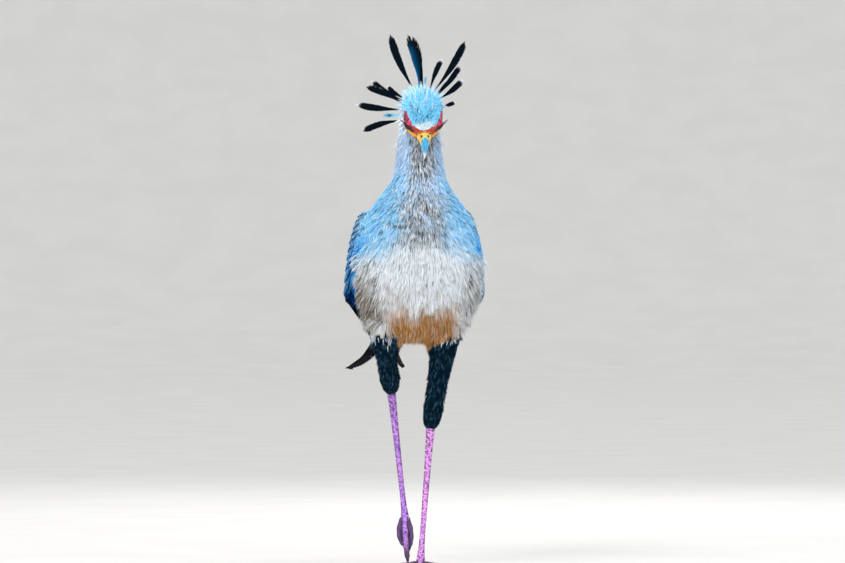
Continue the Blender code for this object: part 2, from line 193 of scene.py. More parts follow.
def ringFaces(ringCount, pointCount):
    ring, point = np.meshgrid(np.arange(ringCount - 1), np.arange(pointCount), indexing="ij")
    after = (point + 1) % pointCount
    here, above = ring * pointCount, (ring + 1) * pointCount
    quads = np.stack([here + point, here + after, above + after, above + point], -1).reshape(-1, 4)
    first = np.arange(pointCount)[None, ::-1]
    last = np.arange(pointCount)[None] + (ringCount - 1) * pointCount
    return [quads, first, last]


def ringsRound(path, first, second, radii, points):
    # a ring of points round each place of a path, in its two directions
    turn = np.arange(points) * 2 * pi / points
    wheel = first[:, None] * np.cos(turn)[None, :, None] + second[:, None] * np.sin(turn)[None, :, None]
    return path[:, None] + wheel * radii[:, None, None]


def readArray(items, key, width, kind=np.int32):
    values = np.empty(len(items) * width, kind)
    items.foreach_get(key, values)
    return values.reshape(-1, width)


def readMesh(mesh):
    places = readArray(mesh.vertices, "co", 3, np.float32)
    return places.astype(float), readArray(mesh.vertices, "normal", 3, np.float32).astype(float)


def writePlaces(mesh, places):
    mesh.vertices.foreach_set("co", places.astype(np.float32).ravel())
    mesh.update()


def edgesOf(mesh):
    return readArray(mesh.edges, "vertices", 2)


def trianglesOf(mesh):
    mesh.calc_loop_triangles()
    return readArray(mesh.loop_triangles, "vertices", 3)


def averaged(values, pairs, times, share=0.5):
    # values at the vertices, drawn towards the mean of their neighbours
    count = len(values)
    both = np.concatenate([pairs[:, 0], pairs[:, 1]])
    other = np.concatenate([pairs[:, 1], pairs[:, 0]])
    degree = np.maximum(np.bincount(both, minlength=count), 1)
    values = values.astype(float).copy()
    columns = values.reshape(count, -1)
    for _ in range(times):
        for k in range(columns.shape[1]):
            mean = np.bincount(both, weights=columns[other, k], minlength=count) / degree
            columns[:, k] += (mean - columns[:, k]) * share
    return columns.reshape(values.shape)


def remesh(piece, voxel):
    change = piece.modifiers.new("change", "REMESH")
    change.mode, change.voxel_size = "VOXEL", voxel
    graph = bpy.context.evaluated_depsgraph_get()
    mesh = bpy.data.meshes.new_from_object(piece.evaluated_get(graph))
    old = piece.data
    piece.modifiers.clear()
    piece.data = mesh
    bpy.data.meshes.remove(old)


def tint(code):
    # a screen colour such as "9cc8ec" as the shader's numbers
    parts = [int(code[i : i + 2], 16) / 255 for i in (0, 2, 4)]
    return (*[((c + 0.055) / 1.055) ** 2.4 if c > 0.04045 else c / 12.92 for c in parts], 1)


def put(tree, kind, inputs=(), **settings):
    node = tree.nodes.new("ShaderNode" + kind)
    for key, value in settings.items():
        setattr(node, key, value)
    for key, value in dict(inputs).items():
        if isinstance(value, bpy.types.NodeSocket):
            tree.links.new(value, node.inputs[key])
        else:
            node.inputs[key].default_value = value
    return node


def mixed(tree, factor, first, second, way="MIX"):
    node = put(tree, "Mix", {0: factor, 6: first, 7: second}, data_type="RGBA", blend_type=way)
    return node.outputs[2]


def sums(tree, way, first, second=0.0, third=0.0):
    node = put(tree, "Math", {0: first, 1: second, 2: third}, operation=way)
    return node.outputs[0]


def spread(tree, value, low, high, newLow=0.0, newHigh=1.0):
    inputs = {"Value": value, 1: low, 2: high, 3: newLow, 4: newHigh}
    return put(tree, "MapRange", inputs, interpolation_type="SMOOTHSTEP").outputs[0]


def newGroup(name, inputs, outputs):
    tree = bpy.data.node_groups.new(name, "ShaderNodeTree")
    kinds = {"F": "NodeSocketFloat", "C": "NodeSocketColor", "V": "NodeSocketVector"}
    for way, sockets in (("INPUT", inputs), ("OUTPUT", outputs)):
        for key, kind in sockets.items():
            tree.interface.new_socket(key, in_out=way, socket_type=kinds[kind])
    return tree, tree.nodes.new("NodeGroupInput").outputs, tree.nodes.new("NodeGroupOutput").inputs


def newLook(name, **settings):
    look = bpy.data.materials.new(name)
    look.use_nodes = True
    shader = look.node_tree.nodes["Principled BSDF"]
    for key, value in settings.items():
        shader.inputs[key].default_value = value
    return look, look.node_tree, shader.inputs


def readMark(tree, name):
    return put(tree, "Attribute", attribute_name=name, attribute_type="GEOMETRY").outputs


def fourMarks(tree):
    marks = readMark(tree, "first")
    return (*list(put(tree, "SeparateColor", {0: marks["Color"]}).outputs)[:3], marks["Alpha"])


def laidOver(tree, colour, *layers):
    # each layer is a mark and the colour that it brings
    for mark, code in layers:
        colour = mixed(tree, mark, colour, tint(code) if isinstance(code, str) else code)
    return colour


def useGroup(tree, group, inputs):
    return put(tree, "Group", inputs, node_tree=group).outputs


def placeIn(tree):
    return put(tree, "NewGeometry").outputs["Position"]


def grain(tree, place, scale, detail):
    return put(tree, "TexNoise", {"Vector": place, "Scale": scale, "Detail": detail}).outputs[0]


def shaded(tree, colour, light, saturation=1.0):
    inputs = {"Value": light, "Color": colour, "Saturation": saturation}
    return put(tree, "HueSaturation", inputs).outputs[0]


def bumped(tree, height, strength, distance):
    return put(tree, "Bump", {"Height": height, "Strength": strength, "Distance": distance}).outputs[0]


# the colours of the plumage; the two marks hold how much of each lies at a place
plumage = {
    "ground": "c8e2fb",
    "first": ("7cdcff", "e8edf1", "8a8073", "b98344"),  # sky, cream, tan, ochre
    "second": ("050912", "2f93dc", "f8fafd", "02202f"),  # dark, vivid blue, white, teal black
}
markNames = ("sky", "cream", "tan", "ochre", "dark", "vivid", "white", "teal")


def makePlumageGroup():
    tree, given, result = newGroup(
        "plumageColour",
        {"First": "C", "First Rest": "F", "Second": "C", "Second Rest": "F"}
        | {"Along": "F", "Tone": "F", "Place": "V"},
        {"Colour": "C", "Height": "F"},
    )
    colour = tint(plumage["ground"])
    for marks, codes in (("First", plumage["first"]), ("Second", plumage["second"])):
        parts = put(tree, "SeparateColor", {0: given[marks]}).outputs
        for amount, code in zip([*list(parts)[:3], given[marks + " Rest"]], codes):
            colour = mixed(tree, amount, colour, tint(code))
    # fine barbs and soft blotches
    barbs = grain(tree, given["Place"], 900.0, 2.0)
    blots = grain(tree, given["Place"], 45.0, 3.0)
    light = sums(tree, "MULTIPLY_ADD", given["Tone"], 0.3, 0.77)
    light = sums(tree, "MULTIPLY_ADD", barbs, 0.14, light)
    light = sums(tree, "MULTIPLY_ADD", blots, 0.12, light)
    # the strands darker towards their roots: painted shade under the tufts that lie over them
    root = spread(tree, given["Along"], 0.0, 0.4, -0.16, 0.0)
    light = sums(tree, "ADD", light, root)
    tree.links.new(shaded(tree, colour, light, 1.06), result["Colour"])
    tree.links.new(barbs, result["Height"])
    return tree


def makePlumageLook(name, group, roughness, sheen, specular):
    look, tree, shader = newLook(name, Roughness=roughness)
    shader["Sheen Weight"].default_value = sheen
    shader["Sheen Roughness"].default_value = 0.5
    shader["Specular IOR Level"].default_value = specular
    first, second = readMark(tree, "first"), readMark(tree, "second")
    place = placeIn(tree)
    inputs = {"First": first["Color"], "First Rest": first["Alpha"]}
    inputs |= {"Second": second["Color"], "Second Rest": second["Alpha"], "Place": place}
    inputs |= {"Along": readMark(tree, "along")["Fac"], "Tone": readMark(tree, "tone")["Fac"]}
    made = useGroup(tree, group, inputs)
    tree.links.new(made["Colour"], shader["Base Color"])
    tree.links.new(bumped(tree, made["Height"], 0.25, 0.0006), shader["Normal"])
    return look


def makeFoldGroup():
    # folds and pores of bare skin
    tree, given, result = newGroup(
        "bareSkin", {"Place": "V", "Fold Scale": "F", "Pore Scale": "F"}, {"Height": "F", "Blotch": "F"}
    )
    folds = grain(tree, given["Place"], given["Fold Scale"], 4.0)
    pores = put(tree, "TexVoronoi", {"Vector": given["Place"], "Scale": given["Pore Scale"]})
    height = sums(tree, "MULTIPLY_ADD", pores.outputs["Distance"], 0.5, folds)
    tree.links.new(height, result["Height"])
    blotch = grain(tree, given["Place"], 160.0, 3.0)
    tree.links.new(blotch, result["Blotch"])
    return tree


face = {
    "ground": "bb3a10",  # orange red round the eye
    "brow": "e2386a",
    "browDark": "7c1230",
    "gape": "f8b02c",
    # painted shade in the gape's crease, round the eye and under the brow, and the dark specks towards the
    # bill
    "creaseShade": "070103",
    "cere": "f4cc50",
}


def makeFaceLook(group):
    look, tree, shader = newLook("faceSkin", Roughness=0.42)
    shader["Subsurface Weight"].default_value = 0.08
    shader["Subsurface Scale"].default_value = 0.004
    # dark is painted shade round the eye, under the brow and in the gape's crease, with dark specks
    browMark, gapeMark, dark, cereMark = fourMarks(tree)
    made = useGroup(tree, group, {"Place": placeIn(tree), "Fold Scale": 420.0, "Pore Scale": 900.0})
    warts = spread(tree, made["Blotch"], 0.42, 0.62)
    brow = mixed(tree, warts, tint(face["browDark"]), tint(face["brow"]))
    skinLayers = ((browMark, brow), (gapeMark, face["gape"]), (cereMark, face["cere"]))
    colour = laidOver(tree, tint(face["ground"]), *skinLayers, (dark, face["creaseShade"]))
    light = spread(tree, made["Blotch"], 0.25, 0.75, 0.72, 1.18)
    tree.links.new(shaded(tree, colour, light), shader["Base Color"])
    tree.links.new(bumped(tree, made["Height"], 0.5, 0.0006), shader["Normal"])
    return look


# the standing leg is painted paler and pinker than the raised violet one, a painted difference of light
# between the legs
legs = {"violet": "c68dfb", "litPink": "ffacff", "spot": "2c1238", "groove": "6a3488", "toe": "120c1a"}


def makeLegLook(group):
    look, tree, shader = newLook("legSkin", Roughness=0.48)
    shader["Subsurface Weight"].default_value = 0.05
    shader["Subsurface Scale"].default_value = 0.003
    litPink, groove, spot, toe = fourMarks(tree)
    made = useGroup(tree, group, {"Place": placeIn(tree), "Fold Scale": 700.0, "Pore Scale": 1500.0})
    scaleLayers = ((litPink, legs["litPink"]), (groove, legs["groove"]), (spot, legs["spot"]))
    colour = laidOver(tree, tint(legs["violet"]), *scaleLayers, (toe, legs["toe"]))
    light = spread(tree, made["Blotch"], 0.2, 0.8, 0.75, 1.2)
    tree.links.new(shaded(tree, colour, light), shader["Base Color"])
    tree.links.new(bumped(tree, made["Height"], 0.35, 0.0004), shader["Normal"])
    return look


def makeHornGroup():
    # growth lines and scuffs of bill and claw
    tree, given, result = newGroup("hornGrain", {"Place": "V", "Along": "F"}, {"Height": "F", "Scuff": "F"})
    lines = grain(tree, given["Place"], 260.0, 5.0)
    wavy = sums(tree, "MULTIPLY", lines, 4.0)
    bands = sums(tree, "SINE", sums(tree, "MULTIPLY_ADD", given["Along"], 60.0, wavy))
    tree.links.new(sums(tree, "MULTIPLY_ADD", bands, 0.12, lines), result["Height"])
    scuff = grain(tree, given["Place"], 90.0, 4.0)
    tree.links.new(spread(tree, scuff, 0.4, 0.72), result["Scuff"])
    return tree


bill = {"horn": "2ca6dc", "side": "a9d6e4", "tip": "eef3f2"}
# nostril is painted shade in the nostrils' hollows and a painted shadow along the cere's border
bill |= {"cere": "f4cc50", "flush": "ab3a12", "nostril": "0c0806"}
claw = {"horn": "0c0b10", "worn": "4a4450"}


def makeBillLook(group):
    look, tree, shader = newLook("billHorn", Roughness=0.3)
    shader["Coat Weight"].default_value = 0.25
    shader["Coat Roughness"].default_value = 0.2
    # the third mark is painted shade in the nostrils and a painted shadow along the cere's border
    side, tip, nostril, cereMark = fourMarks(tree)
    made = useGroup(tree, group, {"Place": placeIn(tree), "Along": readMark(tree, "along")["Fac"]})
    cere = mixed(tree, readMark(tree, "flush")["Fac"], tint(bill["cere"]), tint(bill["flush"]))
    hornLayers = ((side, bill["side"]), (tip, bill["tip"]), (cereMark, cere))
    colour = laidOver(tree, tint(bill["horn"]), *hornLayers, (nostril, bill["nostril"]))
    light = spread(tree, made["Scuff"], 0.0, 1.0, 0.86, 1.14)
    tree.links.new(shaded(tree, colour, light), shader["Base Color"])
    tree.links.new(spread(tree, made["Scuff"], 0.0, 1.0, 0.24, 0.42), shader["Roughness"])
    tree.links.new(bumped(tree, made["Height"], 0.25, 0.0004), shader["Normal"])
    return look


def makeClawLook(group):
    look, tree, shader = newLook("clawHorn", Roughness=0.28)
    place = placeIn(tree)
    made = useGroup(tree, group, {"Place": place, "Along": readMark(tree, "along")["Fac"]})
    colour = mixed(tree, made["Scuff"], tint(claw["horn"]), tint(claw["worn"]))
    tree.links.new(colour, shader["Base Color"])
    tree.links.new(spread(tree, made["Scuff"], 0.0, 1.0, 0.22, 0.45), shader["Roughness"])
    tree.links.new(bumped(tree, made["Height"], 0.2, 0.0004), shader["Normal"])
    return look


eyes = {
    "radius": 12.0,
    "across": 34.0,
    "ahead": 3.0,
    "above": 4.0,
    "axis": (0.78, 0.62, 0.04),
    "opening": (10.4, 5.3),
    "pupil": "020203",
    "iris": "3a1510",
    "irisLight": "4a1d12",
    "rim": "120605",
}


def makeEyeLook():
    look, tree, shader = newLook("eyeball", Roughness=0.2)
    shader["Specular IOR Level"].default_value = 0.15
    shader["Coat Weight"].default_value = 0.2
    shader["Coat Roughness"].default_value = 0.02
    place = placeIn(tree)
    angle = readMark(tree, "along")["Fac"]
    streaks = grain(tree, place, 1400.0, 3.0)
    iris = mixed(tree, spread(tree, streaks, 0.35, 0.65), tint(eyes["iris"]), tint(eyes["irisLight"]))
    colour = mixed(tree, spread(tree, angle, 0.36, 0.42), tint(eyes["pupil"]), iris)
    colour = mixed(tree, spread(tree, angle, 0.82, 0.95), colour, tint(eyes["rim"]))
    tree.links.new(colour, shader["Base Color"])
    return look


print("looks: making the shared effects and the materials")
plumageGroup = makePlumageGroup()
skinGroup = makeFoldGroup()
hornGroup = makeHornGroup()
feathered = makePlumageLook("softPlumage", plumageGroup, 0.85, 0.06, 0.2)
laidFeathers = makePlumageLook("laidFeathers", plumageGroup, 0.6, 0.0, 0.2)
inkFeathers = makePlumageLook("inkFeathers", plumageGroup, 0.8, 0.0, 0.04)
faceLook = makeFaceLook(skinGroup)
legLook = makeLegLook(skinGroup)
billLook = makeBillLook(hornGroup)
clawLook = makeClawLook(hornGroup)
eyeLook = makeEyeLook()


def blankMarks(shape):
    return {name: np.zeros(shape) for name in markNames}


def packMarks(marks):
    packed = np.clip(np.stack([marks[name] for name in markNames], -1), 0, 1)
    return {"first": packed[:, :4], "second": packed[:, 4:]}


def bodyMarks(places, region):
    # how much of each colour lies at these places; region is the solid that each one is nearest to.
    # each ease names where a colour starts and where it is full, in mm in the body's or head's frame
    marks = blankMarks(len(places))
    across, ahead, above = toHead(places)
    x, y, z = toBody(places)
    wide = np.abs(x)
    low = noiseAt(places, 0.035, 1)
    fine = noiseAt(places, 0.012, 2)
    head, wing, thigh = region == "head", region == "wing", region == "thigh"
    body = ~(head | wing | thigh)
    zz = z + 14 * low

    drop = faceDrop(ahead, above)
    crown = ease(-16, 4, above - 0.22 * np.abs(across) + 6 * fine)
    marks["sky"] = np.where(head, 0.75 * crown + 0.1, 0)
    forehead = (0.46 + 0.4 * fine) * ease(-9, 3, drop + 5 * fine)
    forehead = forehead * ease(30, 18, np.abs(across)) * (above > 0)
    cheek = head * ease(0, -14, above)
    marks["white"] = np.maximum(head * forehead, 0.25 * cheek)

    middleX = np.interp(places[:, 2] / mm, (800, 1050), (-8, 9))
    aside = np.abs(places[:, 0] / mm - middleX)
    # tan on the front of the throat under the head: painted shade under the head and bill
    throat = ease(36, 16, aside + 8 * fine) * ease(900, 960, z) * (y < -90)
    marks["tan"] = (~wing & ~thigh) * 0.5 * throat * ease(-8, -16, above)
    back = ease(-40, 40, y) * ease(770, 830, z)
    shoulder = ease(980, 915, zz) * ease(705, 775, zz + 0.25 * wide) * ease(18, 75, wide + 12 * low)
    soft = 1 - 0.45 * ease(850, 770, zz) * ease(130, 60, wide)
    marks["sky"] = np.where(head, marks["sky"], 0.55 * np.maximum(shoulder * soft, 0.8 * back))
    marks["sky"] *= ~wing
    chest = ease(78, 30, wide + 14 * fine) * ease(740, 790, zz) * ease(905, 850, zz)
    breast = ease(815, 745, zz + 0.35 * wide)
    marks["cream"] = body * breast
    flank = ease(74, 122, wide + 18 * low) * ease(715, 640, zz) * ease(545, 580, z)
    flank *= np.where(x > 0, 0.5, 1)
    streaks = ease(0.15, 0.6, fine) * ease(725, 640, zz)
    mottled = 0.6 * chest * ease(-0.6, 0.2, fine) + 0.85 * flank + 0.3 * streaks
    marks["tan"] += body * np.clip(mottled, 0, 0.9)
    belly = ease(632, 585, zz) * ease(98, 55, wide + 14 * low) * ease(160, 60, y)
    golden = 0.35 * ease(0.0, 0.6, fine) * ease(680, 610, zz) * ease(120, 60, wide)
    marks["ochre"] = body * np.clip(0.95 * belly + golden, 0, 1)
    vent = ease(120, 220, y) * ease(760, 700, z)
    for name in ("tan", "ochre"):
        marks[name] *= 1 - vent
    marks["white"] += body * 0.7 * vent

    quills = np.clip(ease(640, 615, z) + ease(150, 260, y), 0, 1)
    marks["vivid"] = wing * (0.8 + 0.2 * low) * (1 - quills)
    marks["dark"] = wing * (0.2 + 0.8 * quills)
    marks["teal"] = thigh.astype(float)
    return marks


skin = {
    "voxel": 3.9 * mm,
    "overlap": 0.45 * mm,
    "smoothing": 34,
    "depth": {"head": 5, "neck": 9, "trunk": 12, "wing": 6, "thigh": 6},  # the coat over it, in mm
    "bareDepth": 0.6,
    "browHeight": 4.6,
    "lidRadius": 12.9,
}
# the bare face seen from the side: ahead of the eyes and above them, in mm
bareFace = ((46, 10), (31, 13.5), (20, 12.5), (4, 18.5), (-18, 22.5), (-28, 20.5), (-21, 9), (-13, 0))
bareFace += ((-9, -12), (0, -16), (20, -15.5), (42, -14), (52, -5))
browLine = ((-26, 19.5), (-12, 17), (0, 14), (10, 11.5), (20, 9), (29, 7.5))
# how far from the midline the bare skin starts, by how far down the face it lies
browEdge = ((-27, -10, 6.5, 12, 14.5), (39, 29.5, 22, 14, 0))
gapeLine = ((46, -10.5), (30, -11.5), (15, -12.5), (0, -13.5), (-7, -12.5))
# the line of a dark band between eye and bill under the brow: painted shade
loreLine = ((-11, 10.5), (0, 5.5), (9, 3), (18, 2.5))


limbs = {
    "ankle": {"left": (24.5, 12, 338), "right": (-71, 68, 424)},
    "knee": {"left": (73, -132, 642), "right": (-95, -185, 622)},
    "foot": {"left": (1, 0, 24), "right": (-38, 94, 119)},
}


def shankShare(places, side):
    # how far up the feathered leg a place is, from the ankle to the knee
    low, high = (np.array(limbs[joint][side]) * mm for joint in ("ankle", "knee"))
    return (places - low) @ (high - low) / ((high - low) @ (high - low))


def tucked(points, way):
    # the wing's lower front corner lies closer to the body
    x, y, z = toBody(points)
    inward = 0.75 * np.clip(652 - z, 0, 60) * ease(300, 140, y)
    return fromBody(np.stack([x - way * inward, y, z], -1))


fleshOf = ("head", "neck", "trunk", "wing", "thigh")


def regionOf(name):
    return name.split("_")[0]


def cadArrays(names):
    places, triangles, owners, start = [], [], [], 0
    for name in names:
        mesh = nodes[name].data
        points, _ = readMesh(mesh)
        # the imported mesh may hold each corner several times, so equal ones are joined
        _, first, back = np.unique(np.round(points, 6), axis=0, return_index=True, return_inverse=True)
        places.append(points[first])
        triangles.append(back.ravel()[trianglesOf(mesh)] + start)
        owners += [regionOf(name)] * len(triangles[-1])
        start += len(first)
    return np.concatenate(places), np.concatenate(triangles), np.array(owners)


def grownOut(places, triangles, distance):
    a, b, c = places[triangles.T]
    faceNormals = np.cross(b - a, c - a)
    normals = np.zeros_like(places)
    for k in range(3):
        np.add.at(normals, triangles[:, k], faceNormals)
    return places + unit(normals) * distance


def lineDistance(line, ahead, above):
    # distance to a line drawn on the head's side, and how far along it the nearest point is
    line = np.array(line, float)
    best, share = np.full(len(ahead), 1e9), np.zeros(len(ahead))
    for i in range(len(line) - 1):
        a, step = line[i], line[i + 1] - line[i]
        t = np.clip(((ahead - a[0]) * step[0] + (above - a[1]) * step[1]) / (step @ step), 0, 1)
        far = np.hypot(ahead - a[0] - t * step[0], above - a[1] - t * step[1])
        share = np.where(far < best, (i + t) / (len(line) - 1), share)
        best = np.minimum(best, far)
    return best, share


def inShape(shape, ahead, above):
    # how deep inside a closed outline, in mm; negative outside
    inside = np.zeros(len(ahead), bool)
    for (s0, t0), (s1, t1) in zip(shape, shape[1:] + shape[:1]):
        crosses = (t0 > above) != (t1 > above)
        inside ^= crosses & (ahead < (s1 - s0) * (above - t0) / (t1 - t0 + 1e-9) + s0)
    far, _ = lineDistance(shape + shape[:1], ahead, above)
    return np.where(inside, far, -far)


def bareness(places):
    across, ahead, above = toHead(places)
    inside = inShape(bareFace, ahead, above)
    # over the forehead the feathers reach down between the brows
    edge = np.abs(across) + 0.8 + 2.4 * np.tanh(across / 8) - np.interp(faceDrop(ahead, above), *browEdge)
    inside = np.where((above > -8) & (ahead < 33), np.minimum(inside, edge), inside)
    return np.where(ahead > -40, inside, -50.0)


def faceDrop(ahead, above):
    # how far below the eyes a place on the face shows from the front
    return 0.766 * ahead - 0.643 * above


def overBrow(ahead, above):
    return above - np.interp(ahead, *np.array(browLine).T)


def gapeHeight(ahead):
    return np.interp(ahead, *np.array(gapeLine[::-1]).T)


def makeSkin():
    # the eyeballs are in it too, so that there is skin to draw over them as lids
    places, triangles, owners = cadArrays([n for n in nodes if regionOf(n) in (*fleshOf, "eye")])
    owners[owners == "eye"] = "head"
    tree = BVHTree.FromPolygons(places.tolist(), triangles.tolist())
    body = build("skin", grownOut(places, triangles, skin["overlap"]), [triangles], [])
    remesh(body, skin["voxel"])
    points, _ = readMesh(body.data)
    pairs = edgesOf(body.data)
    points = averaged(points, pairs, skin["smoothing"])
    writePlaces(body.data, points)
    print("skin: remeshed to", len(points), "points")
    return body, tree, owners


def nearestOwners(tree, owners, points):
    return owners[[tree.find_nearest(p)[2] for p in points.tolist()]]


def refineFace(body):
    # finer faces where the bare skin, lids and folds are
    work = bmesh.new()
    work.from_mesh(body.data)
    for margin in (14, 6):
        centres = np.array([f.calc_center_median() for f in work.faces])
        wanted = bareness(centres) > -margin
        edges = {e for f, w in zip(work.faces, wanted) if w for e in f.edges}
        bmesh.ops.subdivide_edges(work, edges=list(edges), cuts=1, use_grid_fill=True, smooth=0.0)
    work.to_mesh(body.data)
    work.free()
    points, _ = readMesh(body.data)
    pairs = edgesOf(body.data)
    soft = averaged(points, pairs, 4)
    near = ease(-16, -8, bareness(points))[:, None]
    writePlaces(body.data, points + (soft - points) * near)


def eyeFrame(side):
    # the eyeball's middle and three directions, in the head's own millimetres
    sign = sides[side]
    middle = np.array([sign * eyes["across"], eyes["ahead"], eyes["above"]])
    out = unit(np.array(eyes["axis"]) * (sign, 1, 1))
    fore = np.array([0.0, 1.0, -0.12])
    fore = unit(fore - out * (fore @ out))
    return middle, out, fore, np.cross(fore, out) * -sign


def sculptFace(points, normals):
    # brow, lids, orbital folds and the gape's soft edges
    across, ahead, above = toHead(points)
    local = np.stack([across, ahead, above], -1)
    bare = bareness(points)
    far, share = lineDistance(browLine, ahead, above)
    ends = np.sin(pi * np.clip(share * 0.9 + 0.08, 0, 1)) ** 0.6
    lateral = ease(12, 24, np.abs(across))
    reach = np.where(overBrow(ahead, above) > 0, 6.0, 4.0)
    lift = skin["browHeight"] * np.exp(-((far / reach) ** 2)) * ends * lateral
    wrinkle = np.sin(share * 38 + 1.5 * noiseAt(points, 0.006, 5)) * np.exp(-((far / 6) ** 2))
    lift += 0.28 * wrinkle * lateral
    gap = above - gapeHeight(ahead)
    nearGape = ease(-12, -7, ahead) * lateral
    lift += nearGape * (1.3 * np.exp(-(((gap - 2.6) / 2.0) ** 2)))
    lift += nearGape * (1.1 * np.exp(-(((gap + 2.4) / 1.8) ** 2)))
    lift -= nearGape * (1.5 * np.exp(-((gap / 0.8) ** 2)))
    lift += 0.35 * ease(-2, 4, bare) * noiseAt(points, 0.0035, 6)
    # the gape's crease, which gets painted shade
    creaseShade = nearGape * np.exp(-((gap / 0.9) ** 2))
    local = local + (normals @ pose["headTurn"] * np.array([1, -1, 1])) * lift[:, None]
    openings = np.full(len(points), 9.0)
    for side in sides:
        middle, out, fore, up = eyeFrame(side)
        offset = local - middle
        reach = np.linalg.norm(offset, axis=-1)
        a, b = eyes["opening"]
        height = offset @ up
        level = np.hypot(offset @ fore / a, (height + 1.2) / b)
        level = np.where(offset @ out > 0, level, 9.0)
        openings = np.minimum(openings, level)
        folds = 0.55 * np.sin(level * 15 + noiseAt(points, 0.008, 7))
        folds = folds * ease(1.25, 1.5, level) * ease(3.2, 2.2, level)
        rim = skin["lidRadius"] + 0.7 * np.exp(-(((level - 1.16) / 0.1) ** 2))
        rim = rim - 3.8 * ease(1.04, 0.96, level)
        weight = ease(2.25, 1.35, level)
        target = reach + (rim - reach) * weight + folds * (1 - weight) * 0.6
        local = middle + unit(offset) * target[:, None]
    return fromHead(*local.T), openings, creaseShade


def dressSkin(body, tree, owners):
    # the coat's depth taken off, the face sculpted and the markings laid on
    points, normals = readMesh(body.data)
    region = nearestOwners(tree, owners, points)
    pairs = edgesOf(body.data)
    bare = bareness(points)
    depth = np.select([region == name for name in fleshOf], [skin["depth"][name] for name in fleshOf])
    depth = np.where((region == "trunk") & (normals[:, 2] > 0.3), 7, depth)
    bodyX, bodyY, _ = toBody(points)
    wingDepth = np.interp(bodyY, (-116, -90, 240, 400, 532), (3, 6, 5, 2.5, 1))
    depth = np.where(region == "wing", wingDepth, depth)
    for side, way in sides.items():
        shank = (region == "thigh") & (np.sign(bodyX) == way)
        depth = np.where(shank, np.interp(shankShare(points, side), (0.1, 0.35), (0.8, 6)), depth)
    depth = averaged(depth, pairs, 8)
    depth = np.where(region == "head", np.minimum(depth, 5), depth)
    depth = depth + (skin["bareDepth"] - depth) * ease(-9, 1, bare)
    points = points - normals * depth[:, None] * mm
    closer = averaged((region == "wing").astype(float), pairs, 12)[:, None]
    points += (tucked(points, np.sign(bodyX)) - points) * closer
    writePlaces(body.data, points)
    _, normals = readMesh(body.data)
    near = bare > -14
    moved, openings, creaseShade = sculptFace(points[near], normals[near])
    points[near] = moved
    writePlaces(body.data, points)
    print("skin: face sculpted over", int(near.sum()), "points")
    packed = packMarks(bodyMarks(points, region))
    across, ahead, above = toHead(points)
    far, share = lineDistance(browLine, ahead, above)
    brow = ease(6.6, 4.2, far - 0.35 * np.maximum(overBrow(ahead, above), 0))
    brow = brow * ease(13, 20, np.abs(across)) * ease(0.86, 0.52, share)
    yellow = ease(6.5, 2.5, above - gapeHeight(ahead) - 0.16 * np.maximum(ahead, 0)) * ease(-12, 0, ahead)
    # the dark mark: painted shade along the lore line under the brow, round the eye by the lids and in the
    # gape's crease; then dark specks further forward
    lore, _ = lineDistance(loreLine, ahead, above)
    lore = ease(9.0, 5.5, lore + 1.2 * noiseAt(points, 0.006, 8)) * (1 - yellow)
    dark = np.zeros(len(points))
    dark[near] = np.maximum(0.6 * creaseShade, ease(1.9, 1.4, openings))
    dark = np.maximum(dark, 0.97 * lore) * (1 - 0.85 * brow)
    specks = 0.75 * ease(0.25, 0.6, noiseAt(points, 0.003, 9)) * ease(16, 24, ahead)
    dark = np.maximum(dark, specks * ease(22, 12, np.abs(across)))
    cere = ease(33, 39, ahead)
    faceMarks = np.stack([brow, yellow * (1 - cere), dark, cere], -1)
    isBare = bare > -1.5
    packed["first"] = np.where(isBare[:, None], np.clip(faceMarks, 0, 1), packed["first"])
    packed["along"] = np.full(len(points), 0.35)
    packed["tone"] = np.full(len(points), 0.4)
    addMarks(body.data, packed)
    # a face takes the look of its first corner
    loops = readArray(body.data.loops, "vertex_index", 1)
    starts = readArray(body.data.polygons, "loop_start", 1)
    slots = isBare[loops[starts]].astype(np.int32).ravel()
    body.data.materials.append(feathered)
    body.data.materials.append(faceLook)
    body.data.polygons.foreach_set("material_index", slots)
    body.data.shade_smooth()
    return region


print("skin: joining the solids of flesh")
skinPiece, fleshTree, fleshOwners = makeSkin()
refineFace(skinPiece)
skinRegion = dressSkin(skinPiece, fleshTree, fleshOwners)


